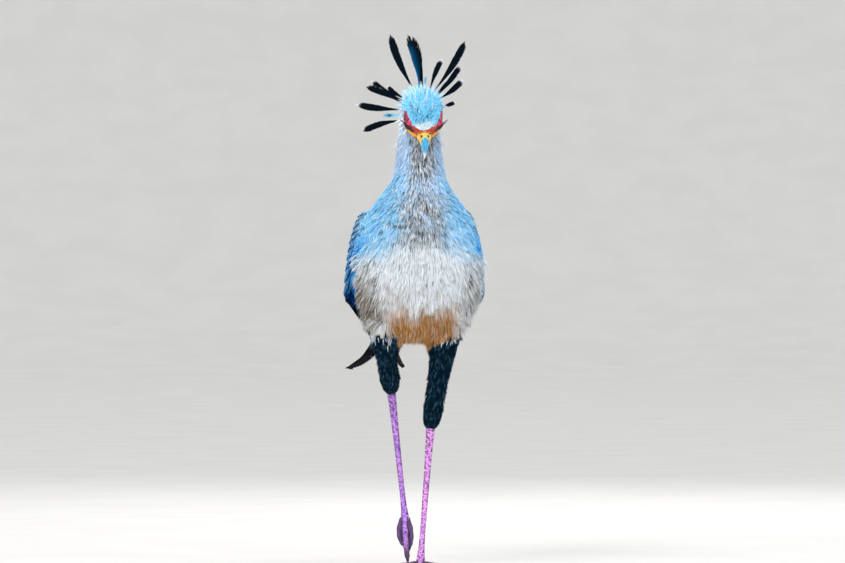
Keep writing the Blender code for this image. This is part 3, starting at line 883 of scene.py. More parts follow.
class Surface:
    # the finished skin as arrays, with a tree for laying points on it
    def __init__(self, mesh, region):
        self.triangles, self.pairs = trianglesOf(mesh), edgesOf(mesh)
        self.points, self.normals = readMesh(mesh)
        self.region = region
        self.tree = BVHTree.FromPolygons(self.points.tolist(), self.triangles.tolist())
        a, b, c = self.points[self.triangles.T]
        self.areas = np.linalg.norm(np.cross(b - a, c - a), axis=1) / 2
        self.middles = (a + b + c) / 3
        self.facing = unit(sum(self.normals[self.triangles[:, k]] for k in range(3)))

    def lay(self, points):
        # the nearest points on the skin, with its direction outwards and its triangle there
        shape = points.shape
        found = [self.tree.find_nearest(p) for p in points.reshape(-1, 3).tolist()]
        index = np.array([f[2] for f in found])
        places = np.array([f[0][:] for f in found])
        return places.reshape(shape), self.facing[index].reshape(shape), index.reshape(shape[:-1])

    def roots(self, weight, spacing, seed):
        # places scattered evenly, about spacing apart; weight picks the triangles
        draw = seeded(seed)
        chance = self.areas * weight / np.square(spacing)
        count = int(chance.sum() * 6)
        picked = draw.choice(len(chance), count, p=chance / chance.sum())
        shares = draw.random((count, 2))
        flip = shares.sum(1) > 1
        shares[flip] = 1 - shares[flip]
        a, b, c = self.points[self.triangles[picked].T]
        places = a + (b - a) * shares[:, :1] + (c - a) * shares[:, 1:]
        for shift, size in ((0.0, 0.94), (0.5, 0.8)):
            cells = np.floor(places / (spacing[picked] * size)[:, None] + shift).astype(np.int64)
            _, first = np.unique(cells @ np.array([1, 4001, 16008001]), return_index=True)
            first.sort()
            places, picked = places[first], picked[first]
        return places, picked


def march(surface, places, lie, lengths, count):
    # guides that follow the lie of the coat over the skin, count points each
    path, facings = [], []
    spot, facing, index = surface.lay(places)
    heading = None
    for k in range(count):
        path.append(spot)
        facings.append(facing)
        wanted = lie[surface.triangles[index]].mean(1)
        if heading is not None:
            wanted = wanted + heading
        wanted = wanted - facing * (wanted * facing).sum(-1, keepdims=True)
        heading = unit(wanted)
        if k < count - 1:
            spot, facing, index = surface.lay(spot + heading * (lengths / (count - 1))[:, None])
    return np.stack(path, 1), np.stack(facings, 1)


def skewed(surface, lie, seed, amount, size):
    # the lie of the coat, swung this way and that in patches
    swing = amount * noiseAt(surface.points, size, seed)
    across = np.cross(surface.normals, lie)
    return lie * np.cos(swing)[:, None] + across * np.sin(swing)[:, None]


def wrapUv(places, axisPlace, axis):
    # an unwrap round an axis: the angle round it and the way along it, both from 0 to 1
    axis = unit(np.array(axis, float))
    side = unit(np.cross(axis, [0.3, 1.0, 0.2]))
    offset = places - np.array(axisPlace)
    along = offset @ axis
    angle = np.arctan2(offset @ side, offset @ np.cross(axis, side))
    low, high = along.min(), along.max()
    return 0.02 + 0.96 * np.stack([angle / (2 * pi) + 0.5, (along - low) / (high - low + 1e-9)], -1)


def tuftUv(root, side, along):
    # each tuft is a small patch at its root's place on the unwrap
    patch = 0.003
    u = root[:, None, None, 0] + patch / 2 * np.clip(side, -1, 1)[:, :, None]
    v = root[:, None, None, 1] + patch * (along - 0.5)
    return np.stack(np.broadcast_arrays(u, v), -1).reshape(-1, 2)


def growTufts(guides, facings, shape, seed, strands):
    # each tuft is a sheaf of narrow ribbons that run to points
    draw = seeded(seed)
    n, count = guides.shape[:2]
    t = np.linspace(0, 1, count)
    along = unit(np.gradient(guides, axis=1))
    across = unit(np.cross(facings, along))
    spot = (np.arange(strands) + 0.5) / strands * 2 - 1
    side = spot[None, :] + draw.normal(0, 0.18, (n, strands))
    length = 1 - 0.16 * side**2 + draw.normal(0, 0.07, (n, strands))
    start = draw.random((n, strands)) * 0.16
    lifted = 1 + draw.normal(0, 0.2, (n, strands))
    roll = draw.normal(0, 0.45, (n, strands))
    bend = draw.normal(0, 0.2, (n, strands))
    reach = (start[..., None] + (length - start)[..., None] * t) * (count - 1)
    reach = np.clip(reach, 0, count - 1.001)
    step = reach.astype(int)
    part = (reach - step)[..., None]
    row = np.arange(n)[:, None, None]

    def read(values):
        return values[row, step] * (1 - part) + values[row, step + 1] * part

    middle, outward, sideways = read(guides), read(facings), unit(read(across))
    wide, thin, gather, lift = (shape[key][:, None, None] for key in ("spread", "half", "gather", "lift"))
    share = reach / (count - 1)
    spread = (0.45 + 0.55 * np.minimum(1, share * 2.2)) * (1 - gather * share**1.6)
    offset = side[..., None] * wide * spread
    offset += bend[..., None] * share**2 * wide
    rise = lift * lifted[..., None] * share**1.25
    # a tuft is a little arched across
    rise -= 0.18 * wide * side[..., None] ** 2
    middle = middle + sideways * offset[..., None] + outward * rise[..., None]
    half = thin * np.sin(pi * np.clip(0.22 + 0.78 * t, 0, 1)) ** 0.7
    broad = sideways * np.cos(roll)[..., None, None] + outward * np.sin(roll)[..., None, None]
    first = middle + broad * half[..., None]
    second = middle - broad * half[..., None]
    ring = np.stack([first[:, :, :-1], second[:, :, :-1]], 3).reshape(n, strands, -1, 3)
    places = np.concatenate([ring, middle[:, :, -1:]], 2)
    perStrand = places.shape[2]
    base = (np.arange(n * strands) * perStrand)[:, None, None]
    k = np.arange(count - 2)[None, :, None] * 2
    quads = (base + k + np.array([0, 1, 3, 2])).reshape(-1, 4)
    last = base[:, 0] + np.array([[perStrand - 3, perStrand - 2, perStrand - 1]])
    alongVertex = np.concatenate([np.repeat(share[:, :, :-1], 2, axis=2), share[:, :, -1:]], 2)
    return places, [quads, last], alongVertex, side


def overStrand(values, perStrand):
    # one value for each strand, repeated over its points
    return np.repeat(values[:, :, None], perStrand, axis=2).ravel()


def tuftMarks(marks, strands, perStrand, change):
    # each tuft's marks for its strands, with the change of the marks that it names added
    out = {}
    for name in markNames:
        values = np.repeat(marks[name][:, None], strands, axis=1)
        out[name] = overStrand(np.clip(values + change.get(name, 0), 0, 1), perStrand)
    return out


# spacing of the tufts, length, half spread, half width of a strand, how far a tuft gathers
# to its tip (below 0 it fans out) and how high the tip stands, in mm
coat = {
    "crown": (3.0, 10, 1.7, 0.4, 0.4, 4.8),
    "face": (2.5, 6, 1.1, 0.28, 0.4, 2.6),
    "neck": (5.0, 26, 2.9, 0.55, 0.4, 9.0),
    "throat": (4.6, 26, 2.1, 0.45, 0.65, 8.5),
    "breast": (6.2, 34, 4.9, 0.6, 0.0, 12.0),
    "belly": (6.9, 43, 5.4, 0.64, 0.1, 14.0),
    "flank": (6.7, 47, 5.2, 0.66, 0.2, 22.0),
    "back": (8.8, 38, 6.8, 1.15, 0.05, 7.0),
    "thigh": (5.1, 19, 2.8, 0.66, 0.4, 6.0),
    "ankle": (3.4, 12, 1.8, 0.5, 0.4, 4.0),
    "wing": (9.0, 20, 5.0, 1.0, 0.0, 6.0),
}
coatPieces = {
    # name: strands in a tuft, and the axis of its unwrap
    "headCoat": (7, (0.007, -0.16, 1.07), (0, 0, 1)),
    "neckCoat": (8, (0.0, -0.13, 1.0), (0, 0, 1)),
    "breastCoatLeft": (12, (-0.01, 0.0, 0.75), (0, 0, 1)),
    "breastCoatRight": (12, (-0.01, 0.0, 0.75), (0, 0, 1)),
    "bellyCoatLeft": (12, (-0.01, 0.05, 0.75), (0, 0, 1)),
    "bellyCoatRight": (12, (-0.01, 0.05, 0.75), (0, 0, 1)),
    "backCoat": (9, (-0.01, 0.1, 0.75), (0, 1, -0.3)),
    "thighCoatLeft": (8, (0.05, -0.06, 0.5), (0.16, -0.48, 1)),
    "thighCoatRight": (8, (-0.08, -0.06, 0.5), (-0.12, -1.2, 1)),
}


def coatFields(surface):
    # the lie of the coat and the size of its tufts at each point of the skin
    points, normals, region = surface.points, surface.normals, surface.region
    x, y, z = toBody(points)
    across, ahead, above = toHead(points)
    head, neck, trunk = region == "head", region == "neck", region == "trunk"
    wing, thigh = region == "wing", region == "thigh"
    sign = np.sign(x + 1e-6)
    lie = np.zeros_like(points)

    up = ease(-12, 22, above)[:, None]
    late = ease(-40, -80, ahead)[:, None]
    crownWay = np.array([0, 0.64, 0.77]) * (1 - late) + np.array([0, 0.75, -0.66]) * late
    cheekWay = np.array([0, 0.45, -0.9])
    flare = np.stack([np.sign(across) * 0.25, 0 * across, 0 * across], -1)
    lie = np.where(head[:, None], crownWay * up + (cheekWay + flare) * (1 - up), lie)
    lie = np.where(neck[:, None], np.array([0, 0.05, -1.0]) + flare * 0.5, lie)
    outwards = np.stack([0.3 * x / 140, 0.1 + 0 * x, -1 + 0 * x], -1)
    belly = ease(690, 560, z)[:, None]
    outwards = outwards + belly * np.array([0, 0.55, 0])
    behind = ease(-0.1, 0.5, normals[:, 1] + 0.8 * normals[:, 2])[:, None] * ease(-80, 0, y)[:, None]
    outwards = outwards * (1 - behind) + np.array([0, 1.0, -0.3]) * behind
    lie = np.where(trunk[:, None], outwards, lie)
    forward = ease(0.2, 0.85, -normals[:, 1])[:, None]
    wingWay = np.array([0, 1.0, -0.22]) * (1 - forward)
    wingWay = wingWay + np.stack([sign * 0.45, 0.35 + 0 * x, -0.7 + 0 * x], -1) * forward
    lie = np.where(wing[:, None], wingWay, lie)
    for side, way in sides.items():
        low, high = (np.array(limbs[joint][side]) for joint in ("ankle", "knee"))
        lie = np.where((thigh & (sign == way))[:, None], unit(low - high), lie)
    lie = averaged(lie, surface.pairs, 60)
    lie = unit(lie - normals * (lie * normals).sum(1, keepdims=True))

    kinds = np.full(len(points), "breast", dtype="<U8")
    kinds[head] = "crown"
    kinds[head & (bareness(points) > -7)] = "face"
    under = head & (above < -14) & (np.abs(across) < 30)
    kinds[neck] = "neck"
    kinds[under | (neck & (np.abs(across) < 26) & (normals[:, 1] < -0.2))] = "throat"
    kinds[trunk & (z < 700)] = "belly"
    kinds[trunk & (np.abs(x) > 100) & (z < 770)] = "flank"
    kinds[trunk & (behind[:, 0] > 0.5)] = "back"
    kinds[thigh] = "thigh"
    for side, way in sides.items():
        kinds[thigh & (sign == way) & (shankShare(points, side) < 0.16)] = "ankle"
    kinds[wing] = "wing"
    table = np.array([coat[kind] for kind in coat])
    which = {kind: i for i, kind in enumerate(coat)}
    sizes = table[[which[kind] for kind in kinds]]
    sizes = averaged(sizes, surface.pairs, 25)
    keep = np.isin(kinds, ("face", "ankle"))
    sizes[keep] = table[[which[kind] for kind in kinds[keep]]]
    return lie, sizes, kinds


def flecks(places, kinds):
    # the share of dark and of pale strands at each place
    z = toBody(places)[2]
    _, ahead, above = toHead(places)
    middleX = np.interp(places[:, 2] / mm, (800, 1050), (-8, 9))
    aside = np.abs(places[:, 0] / mm - middleX)
    fine = noiseAt(places, 0.01, 31)
    streaked = np.isin(kinds, ("neck", "throat", "breast", "belly", "flank"))
    throat = ease(34, 18, aside + 9 * fine) * ease(850, 930, z) * streaked
    chest = ease(80, 30, aside + 12 * fine) * ease(740, 790, z) * ease(910, 860, z) * streaked
    dark = 0.34 * throat + 0.2 * chest + 0.02 * streaked
    down = ease(-62, -14, faceDrop(ahead, above))
    sorts = [kinds == "crown", kinds == "face", kinds == "flank"]
    dark += np.select(sorts, [0.03 + 0.2 * down, 0.06, 0.16], 0)
    pale = 0.4 * throat + 0.25 * chest + 0.1 * streaked + (0.25 - 0.15 * down) * (kinds == "crown")
    return dark, pale


def strandChanges(kinds, places, strands, draw):
    # dark or pale tufts and single strands where the plumage is streaked
    chance = draw.random((len(places), strands))
    tuftChance = draw.random((len(places), 1))
    limit, paleLimit = (values[:, None] for values in flecks(places, kinds))
    dark = np.where((tuftChance < limit) & (chance < 0.6), 0.9, 0)
    dark = dark + np.where(chance < limit * 0.5, 0.8, 0)
    pale = np.where((1 - tuftChance < paleLimit) & (chance > 0.3), 0.7, 0)
    return dark, pale


def growCoat(surface):
    lie, sizes, kinds = coatFields(surface)
    surface.lie = lie
    lie = skewed(surface, lie, 11, 0.22, 0.02)
    corner = surface.triangles[:, 0]
    triangleKind = kinds[corner]
    triangleSize = sizes[surface.triangles].mean(1)
    weight = np.where(triangleKind == "wing", 0, 1.0)
    weight *= bareness(surface.middles) < -0.8
    spacing = triangleSize[:, 0] * mm
    places, picked = surface.roots(weight, spacing, 3)
    draw = seeded(4)
    lengths = triangleSize[picked, 1] * mm * draw.uniform(0.78, 1.2, len(places))
    guides, facings = march(surface, places, lie, lengths, 5)
    kind, region = triangleKind[picked], surface.region[corner[picked]]
    names = np.select(
        [
            np.isin(kind, ("crown", "face")) | ((kind == "throat") & (region == "head")),
            region == "neck",
            kind == "back",
            (kind == "thigh") | (kind == "ankle"),
            toBody(places)[2] > 690,
        ],
        ["headCoat", "neckCoat", "backCoat", "thigh", "breastCoat"],
        "bellyCoat",
    )
    x = toBody(places)[0]
    names = names.astype("<U20")
    for short, full in (("thigh", "thighCoat"), ("breastCoat", "breastCoat"), ("bellyCoat", "bellyCoat")):
        chosen = names == short
        names[chosen] = np.where(x[chosen] > 0, full + "Left", full + "Right")
    total = 0
    for number, (name, (strands, axisPlace, axis)) in enumerate(coatPieces.items()):
        chosen = np.flatnonzero(names == name)
        size = triangleSize[picked[chosen]]
        n = len(chosen)
        drawn = seeded(100 + number)
        clump = noiseAt(places[chosen], 0.016, 21 + number)
        shape = {
            "spread": size[:, 2] * mm * drawn.uniform(0.8, 1.25, n),
            "half": size[:, 3] * mm,
            "gather": size[:, 4] + drawn.normal(0, 0.12, n),
            "lift": size[:, 5] * mm * (0.86 + 0.22 * clump + drawn.normal(0, 0.1, n)),
        }
        sheaf = growTufts(guides[chosen], facings[chosen], shape, 200 + number, strands)
        tips = guides[chosen][:, 3]
        marks = bodyMarks(tips, region[chosen])
        dark, pale = strandChanges(kind[chosen], tips, strands, drawn)
        if name.startswith("thigh"):
            # a bluish tuft here and there: painted sheen on the dark feathers
            sheenTufts = drawn.random(n) < 0.25
            marks["teal"] = marks["teal"] * np.where(sheenTufts, drawn.uniform(0.84, 0.97, n), 1)
            marks["vivid"] = np.full(n, 0.5)
        golden = np.clip(marks["ochre"], 0, 1)[:, None]
        pale = pale * (1 - golden) + 0.4 * golden * (drawn.random((n, strands)) < 0.22)
        dark = dark * (1 - golden) + 0.42 * golden * (drawn.random((n, strands)) < 0.3)
        tone = drawn.uniform(0.25, 0.75, (n, 1)) + drawn.normal(0, 0.14, (n, strands))
        roots = wrapUv(places[chosen], axisPlace, axis)
        tuftPiece(name, sheaf, marks, {"dark": dark, "white": pale}, tone, roots)
        triangles = n * strands * 7
        total += triangles
        print("coat:", name, n, "tufts,", triangles, "triangles")
    print("coat: in all", total, "triangles")


def tuftPiece(name, sheaf, marks, change, tone, roots, rootShadeCut=0.0):
    # roots are the tufts' places on the unwrap; the last argument takes the painted shade off the strands'
    # roots
    made, faces, along, side = sheaf
    strands, perStrand = made.shape[1:3]
    packed = packMarks(tuftMarks(marks, strands, perStrand, change))
    packed["along"] = rootShadeCut + (1 - rootShadeCut) * along.ravel()
    packed["tone"] = overStrand(np.clip(tone, 0, 1), perStrand)
    uv = tuftUv(roots, side, along)
    look, slot = feathered, "body_plumage"
    if name.startswith("thigh"):
        look, slot = inkFeathers, "black_plumage"
    finished(build(name, made.reshape(-1, 3), faces, [look], packed, uv), slot)


# tufts that stand away from the coat: count, length, rise in degrees, half spread, strands, paleness
spikes = {
    "napeTufts": (130, (12, 27), (38, 66), 1.5, 6, 0.45),
    "ruffTufts": (230, (15, 28), (28, 58), 1.6, 6, 0.75),
    "fringeTufts": (110, (12, 22), (14, 34), 1.6, 5, 0.8),
    "flankTufts": (120, (30, 46), (10, 24), 3.2, 7, 0.5),
}


def spikeWeights(surface):
    middles, facing = surface.middles, surface.facing
    region = surface.region[surface.triangles[:, 0]]
    _, ahead, above = toHead(middles)
    x, y, z = toBody(middles)
    nape = (region == "head") * ease(-36, -60, ahead) * ease(-5, 12, above)
    edge = ease(0.5, 0.85, np.abs(facing[:, 0]))
    ruff = np.isin(region, ("head", "neck")) * edge * ease(6, -12, above)
    ruff = ruff * ease(950, 1000, z) * ease(14, -4, ahead) * (ease(-75, -50, ahead) + 0.2)
    fringe = np.zeros(len(middles))
    for side, way in sides.items():
        share = shankShare(middles, side)
        row = ease(0.67, 0.74, share) * ease(0.92, 0.82, share)
        fringe += (region == "thigh") * (np.sign(x) == way) * row * ease(0.05, 0.4, -facing[:, 1])
    flank = (region == "trunk") * ease(95, 115, np.abs(x)) * ease(560, 600, z)
    flank = flank * ease(760, 720, z) * ease(10, -30, y)
    return {"napeTufts": nape, "ruffTufts": ruff, "fringeTufts": fringe, "flankTufts": flank}


def growSpikes(surface):
    weights = spikeWeights(surface)
    for number, (name, (count, lengths, rises, half, strands, pale)) in enumerate(spikes.items()):
        draw = seeded(800 + number)
        chance = surface.areas * weights[name]
        picked = draw.choice(len(chance), count, p=chance / chance.sum())
        root, normal = surface.middles[picked], surface.facing[picked]
        way = unit(surface.lie[surface.triangles[picked]].mean(1) + draw.normal(0, 0.22, (count, 3)))
        rise = np.radians(draw.uniform(*rises, count))[:, None, None]
        share = np.linspace(0, 1, 5)[None, :, None]
        length = draw.uniform(*lengths, count)[:, None, None] * mm
        # each bends over a little towards its tip
        turn = rise * (1.15 - 0.5 * share)
        bent = way[:, None] * np.cos(turn) + normal[:, None] * np.sin(turn)
        guides = root[:, None] + length * share * bent
        facings = np.repeat(normal[:, None], 5, axis=1)
        shape = {
            "spread": half * mm * draw.uniform(0.7, 1.2, count),
            "half": np.full(count, 0.42 * mm),
            "gather": draw.uniform(0.75, 1.0, count),
            "lift": np.full(count, 0.8 * mm),
        }
        sheaf = growTufts(guides, facings, shape, 820 + number, strands)
        marks = bodyMarks(root, surface.region[surface.triangles[picked, 0]])
        if name == "fringeTufts":
            # its strands are white over the dark of the leg
            marks = {key: values * (1 - pale) for key, values in marks.items()}
        white = np.clip(pale * draw.uniform(0.4, 1.3, (count, strands)), 0, 1)
        dark = 0.9 * (draw.random((count, strands)) < 0.06)
        tone = draw.uniform(0.35, 0.8, (count, strands))
        roots = wrapUv(root, (0, -0.1, 0.9), (0, 0, 1))
        tuftPiece(name, sheaf, marks, {"white": white, "dark": dark}, tone, roots, 0.4)
        print("coat:", name, count, "standing tufts")


print("coat: laying the tufts over the skin")
surface = Surface(skinPiece.data, skinRegion)
growCoat(surface)
growSpikes(surface)


def makeFeather(path, widths, face, spec, draw, mark):
    # a shaft with two rows of barbs: path and half widths in metres, face the way that its flat
    # side looks; mark gives the colours
    count = len(path)
    place = np.linspace(0, 1, count)
    tangent = unit(np.gradient(path, axis=0))
    face = np.broadcast_to(np.asarray(face, float), path.shape)
    across = unit(np.cross(face, tangent))
    flat = unit(np.cross(tangent, across))
    length = np.linalg.norm(np.diff(path, axis=0), axis=1).sum()
    perSide = max(int(length / (spec["spacing"] * mm)), 8)
    bareRoot = spec.get("bare", 0.03)

    def at(values, share):
        share = np.clip(share, 0, 1)
        return np.stack([np.interp(share, place, values[:, k]) for k in range(3)], -1)

    placesAll, marksAll, alongAll, uvAll = [], [], [], []
    for side in (-1, 1):
        root = (np.arange(perSide) + draw.random(perSide) * 0.7) / perSide
        root = bareRoot + (0.985 - bareRoot) * root
        angle = radians(spec["angle"]) * (1 - 0.62 * root**4)
        cluster = np.floor(root * spec["clusters"] + 0.31 * side + draw.random())
        swing = np.sin(cluster * 12.9 + side * 4.1 + count) * radians(spec["split"])
        angle = angle + swing * ease(0.05, 0.3, root) + draw.normal(0, 0.02, perSide)
        # a barb is as long as takes it to the feather's edge, found in a few steps
        reach = np.full(perSide, 0.001)
        edge = widths * spec.get("lean", {}).get(side, 1)
        for _ in range(8):
            half = np.interp(root + reach * np.cos(angle) / length, place, edge, right=0)
            reach = 0.5 * reach + 0.5 * np.maximum(half, 0.0004) / np.sin(np.maximum(angle - 0.2, 0.3))
        reach = np.minimum(reach, length * (0.01 + spec.get("tapering", 30) * (1 - root)))
        reach *= 1 + draw.normal(0, spec["fray"], perSide)
        turn = np.linspace(0, 1, 4)[None, :]
        bend = angle[:, None] - 0.22 * turn
        origin, ahead = at(path, root), unit(at(tangent, root))
        sideways, outward = unit(at(across, root)) * side, unit(at(flat, root))
        far = reach[:, None] * turn
        lateral = far * np.sin(bend)
        middle = origin[:, None] + ahead[:, None] * (far * np.cos(bend))[..., None]
        middle = middle + sideways[:, None] * lateral[..., None]
        wide = np.maximum(widths.max(), 1e-4)
        drop = spec["camber"] * (lateral / wide) ** 2 * wide
        lift = draw.normal(0, spec["rough"] * mm, perSide)[:, None] * turn
        middle = middle + outward[:, None] * (lift - drop)[..., None]
        barb = unit(np.gradient(middle, axis=1))
        broad = unit(np.cross(outward[:, None], barb)) * (spec["spacing"] * mm * 0.82)
        broad = broad * (1 - 0.45 * turn**2)[..., None] + outward[:, None] * spec["spacing"] * mm * 0.12
        ring = np.stack([middle[:, :3] + broad[:, :3], middle[:, :3] - broad[:, :3]], 2)
        placesAll.append(np.concatenate([ring.reshape(perSide, 6, 3), middle[:, 3:]], 1))
        share = np.clip(root[:, None] + far * np.cos(bend) / length, 0, 1)
        share = np.concatenate([np.repeat(share[:, :3], 2, 1), share[:, 3:]], 1)
        lateral = np.concatenate([np.repeat(lateral[:, :3], 2, 1), lateral[:, 3:]], 1) / wide * side
        tone = np.clip(0.5 + draw.normal(0, 0.12, perSide), 0, 1)[:, None] + 0 * share
        marksAll.append(mark(share, lateral))
        alongAll.append(np.stack([0.5 + 0.5 * np.abs(lateral), tone], -1))
        uvAll.append(np.stack([0.5 + 0.45 * np.clip(lateral, -1, 1), share], -1))
    barbs = np.concatenate(placesAll)
    base = (np.arange(len(barbs)) * 7)[:, None]
    quads = np.concatenate([base + np.array([[0, 1, 3, 2]]), base + np.array([[2, 3, 5, 4]])])
    tips = base + np.array([[4, 5, 6]])
    # the shaft, stout at its root and hair-thin at its tip
    ringCount, points = max(count, 8), 6
    share = np.linspace(0, 0.965, ringCount)
    radius = spec["shaft"] * mm * (1 - share) ** 0.8 + 0.12 * mm
    sideways, outward = unit(at(across, share)), unit(at(flat, share))
    shaft = ringsRound(at(path, share), sideways, outward, radius, points).reshape(-1, 3)
    start = len(barbs) * 7
    shaftFaces = [faces + start for faces in ringFaces(ringCount, points)]
    shaftShare = np.repeat(share, points)
    places = np.concatenate([barbs.reshape(-1, 3), shaft])
    marks = {}
    marksAll.append(mark(shaftShare, 0 * shaftShare))
    for name in markNames:
        marks[name] = np.concatenate([part[name].ravel() for part in marksAll])
    extra = np.concatenate([a.reshape(-1, 2) for a in alongAll])
    marks["along"] = np.concatenate([extra[:, 0], np.full(len(shaft), 0.6)])
    marks["tone"] = np.concatenate([extra[:, 1], np.full(len(shaft), spec.get("shaftTone", 0.35))])
    uvAll.append(np.stack([0.5 + 0 * shaftShare, shaftShare], -1))
    marks["u"], marks["v"] = np.concatenate([part.reshape(-1, 2) for part in uvAll]).T
    return places, [quads, tips, *shaftFaces], marks


def featherPiece(name, parts, slot, *replaced):
    count = len(parts)
    for i, (_, _, marks) in enumerate(parts):
        # every feather has its own strip of the unwrap
        marks["u"] = (i + 0.04 + 0.92 * marks["u"]) / count
        marks["v"] = 0.02 + 0.96 * marks["v"]
    places, faceSets, marks = joinParts(parts)
    byKind = {}
    for faces in faceSets:
        byKind.setdefault(faces.shape[1], []).append(faces)
    faceSets = [np.concatenate(sets) for sets in byKind.values()]
    packed = packMarks(marks)
    packed["along"], packed["tone"] = marks["along"], marks["tone"]
    uv = np.stack([marks["u"], marks["v"]], -1)
    look = inkFeathers if slot == "black_feathers" else laidFeathers
    piece = build(name, places, faceSets, [look], packed, uv)
    triangles = sum(len(faces) * (faces.shape[1] - 2) for faces in faceSets)
    print("feathers:", name, count, "feathers,", triangles, "triangles")
    return finished(piece, slot, *replaced)


def plainMarks(share, **values):
    marks = blankMarks(share.shape)
    for name, value in values.items():
        marks[name] = value + np.zeros(share.shape)
    return marks


# each crest plume from the front: root and tip (x, z), half width, lean back of the tip, bow
crest = {
    "plumes": (
        (-14, 1134, -72, 1269, 9.5, 62, 5),
        (-2, 1140, -27, 1265, 15, 70, -7),
        (6, 1141, -21, 1243, 9, 86, -5),
        (22, 1138, 50, 1211, 6.5, 40, 2),
        (31, 1134, 105, 1254, 9, 66, -5),
        (40, 1124, 94, 1196, 7, 52, -2),
        (37, 1127, 74, 1166, 5, 58, 0),
        (44, 1116, 99, 1162, 7.5, 46, -3),
        (50, 1096, 82, 1109, 5, 30, 0),
        (-34, 1116, -79, 1148, 5.5, 40, 3),
        (-40, 1112, -116, 1161, 7, 56, 4),
        (-41, 1106, -128, 1147, 8, 60, -3),
        (-43, 1091, -152, 1104, 8.5, 64, 2),
        (-42, 1079, -88, 1078, 5, 44, 0),
        (-42, 1066, -135, 1042, 8, 58, -5),
        (9, 1138, 13, 1172, 2.4, 60, 0),
    ),
    "rootY": -148,
    "stagger": 4,
    "barbs": {"spacing": 1.15, "angle": 34, "clusters": 7, "split": 2.5, "fray": 0.05},
    "whiteTips": (4, 6, 8, 9, 13, 11, 10),
    "pale": (14, 16),
    "bluish": (2,),
    "loose": (2, 13),  # their barbs part the most
}


def crestMark(number):
    def mark(share, lateral):
        edge = np.clip(np.abs(lateral) * 1.05, 0, 1)
        tip = ease(0.93, 1.0, share) if number in crest["whiteTips"] else 0 * share
        rim = 0.45 * ease(0.86, 1.0, edge) * ease(0.3, 0.6, share)
        white = np.clip(tip + rim * (np.sin(share * 40 + number * 3) > 0.2), 0, 1)
        root = ease(0.22, 0.0, share)
        sky = 0.6 * root
        vivid = 0.5 * root
        dark = 1 - root
        if number in crest["bluish"]:
            blue = 0.22 * ease(0.95, 0.7, share) + 0.3 * ease(0.6, 0.15, share)
            vivid = np.clip(blue * ease(-0.1, 0.15, lateral) + 0.4 * root, 0, 1)
        if number in crest["pale"]:
            # the first of them has a dark spot
            spot = np.exp(-(((share - 0.7) / 0.12) ** 2)) * (np.abs(lateral) < 0.5)
            spot = spot * (number == crest["pale"][0])
            sky, vivid, dark = 0.7 + 0 * share, 0 * share, 0.9 * spot
        return plainMarks(share, sky=sky, dark=dark, vivid=vivid * (1 - white), white=white, teal=0.15)

    return mark


def makeCrest():
    base = {"camber": 0.12, "rough": 0.35, "shaft": 0.75, "bare": 0.03, "shaftTone": 0.2} | crest["barbs"]
    for number, (rootX, rootZ, tipX, tipZ, half, lean, bow) in enumerate(crest["plumes"], 1):
        rootY = crest["rootY"] + crest["stagger"] * (number % 2)
        root = np.array([rootX, rootY, rootZ], float)
        tip = np.array([tipX, rootY + lean, tipZ], float)
        aside = unit(np.cross(tip - root, [0, 1, 0]))
        share = np.linspace(-0.05, 1, 24)
        path = root + (tip - root) * share[:, None] + aside * (bow * np.sin(pi * share))[:, None]
        path[:, 1] += lean * 0.25 * (share**2 - share)
        share = np.clip(share, 0, 1)
        widths = half * (0.17 + 0.88 * ease(0.02, 0.68, share) ** 1.2)
        widths *= roundedEnd(share, 0.88, 0.13)
        draw = seeded(300 + number)
        spec = base | {"split": 5.0} if number in crest["loose"] else base
        face = (0.15 * np.sin(number), -1, 0.1)
        part = makeFeather(path * mm, widths * mm, face, spec, draw, crestMark(number))
        featherPiece(f"crestPlume{number:02d}", [part], "black_feathers", f"crest_plume_{number:02d}")


print("feathers: crest")
makeCrest()

tail = {
    # y, z, half width and half thickness of the closed tail, in the body's frame
    "stations": (
        (299, 696, 34, 23), (340, 679, 36, 15), (400, 654, 39, 9.5), (480, 620, 42, 7),
        (560, 584, 43, 5), (612, 561, 36, 3.2), (634, 551, 20, 2),
    ),
    "pairs": 6,
    "half": 15.5,
    "outerShorter": 70,
    "barbs": {"spacing": 1.9, "angle": 38, "clusters": 9, "split": 1.6, "fray": 0.03},
    # y, x, z and half width
    "streamer": (
        (540, 8, 589, 10), (610, 14, 549, 17), (690, 33, 507, 19), (770, 52, 484, 20),
        (830, 66, 473, 16), (858, 72, 470, 9), (866, 74, 469, 2.5),
    ),
    "drift": 10,
    "lift": 1.7,
}


def tailMark(share, lateral):
    # grey, then a black band, and a white tip
    band = ease(0.62, 0.68, share) * ease(0.94, 0.9, share)
    tip = ease(0.9, 0.95, share)
    return plainMarks(share, dark=0.25 + 0.7 * band - 0.25 * tip, white=0.9 * tip, sky=0.15)


def streamerMark(share, lateral):
    black = ease(0.16, 0.3, share)
    tip = ease(0.975, 0.995, share)
    return plainMarks(share, dark=0.2 + 0.8 * black, white=0.3 * tip, sky=0.25)


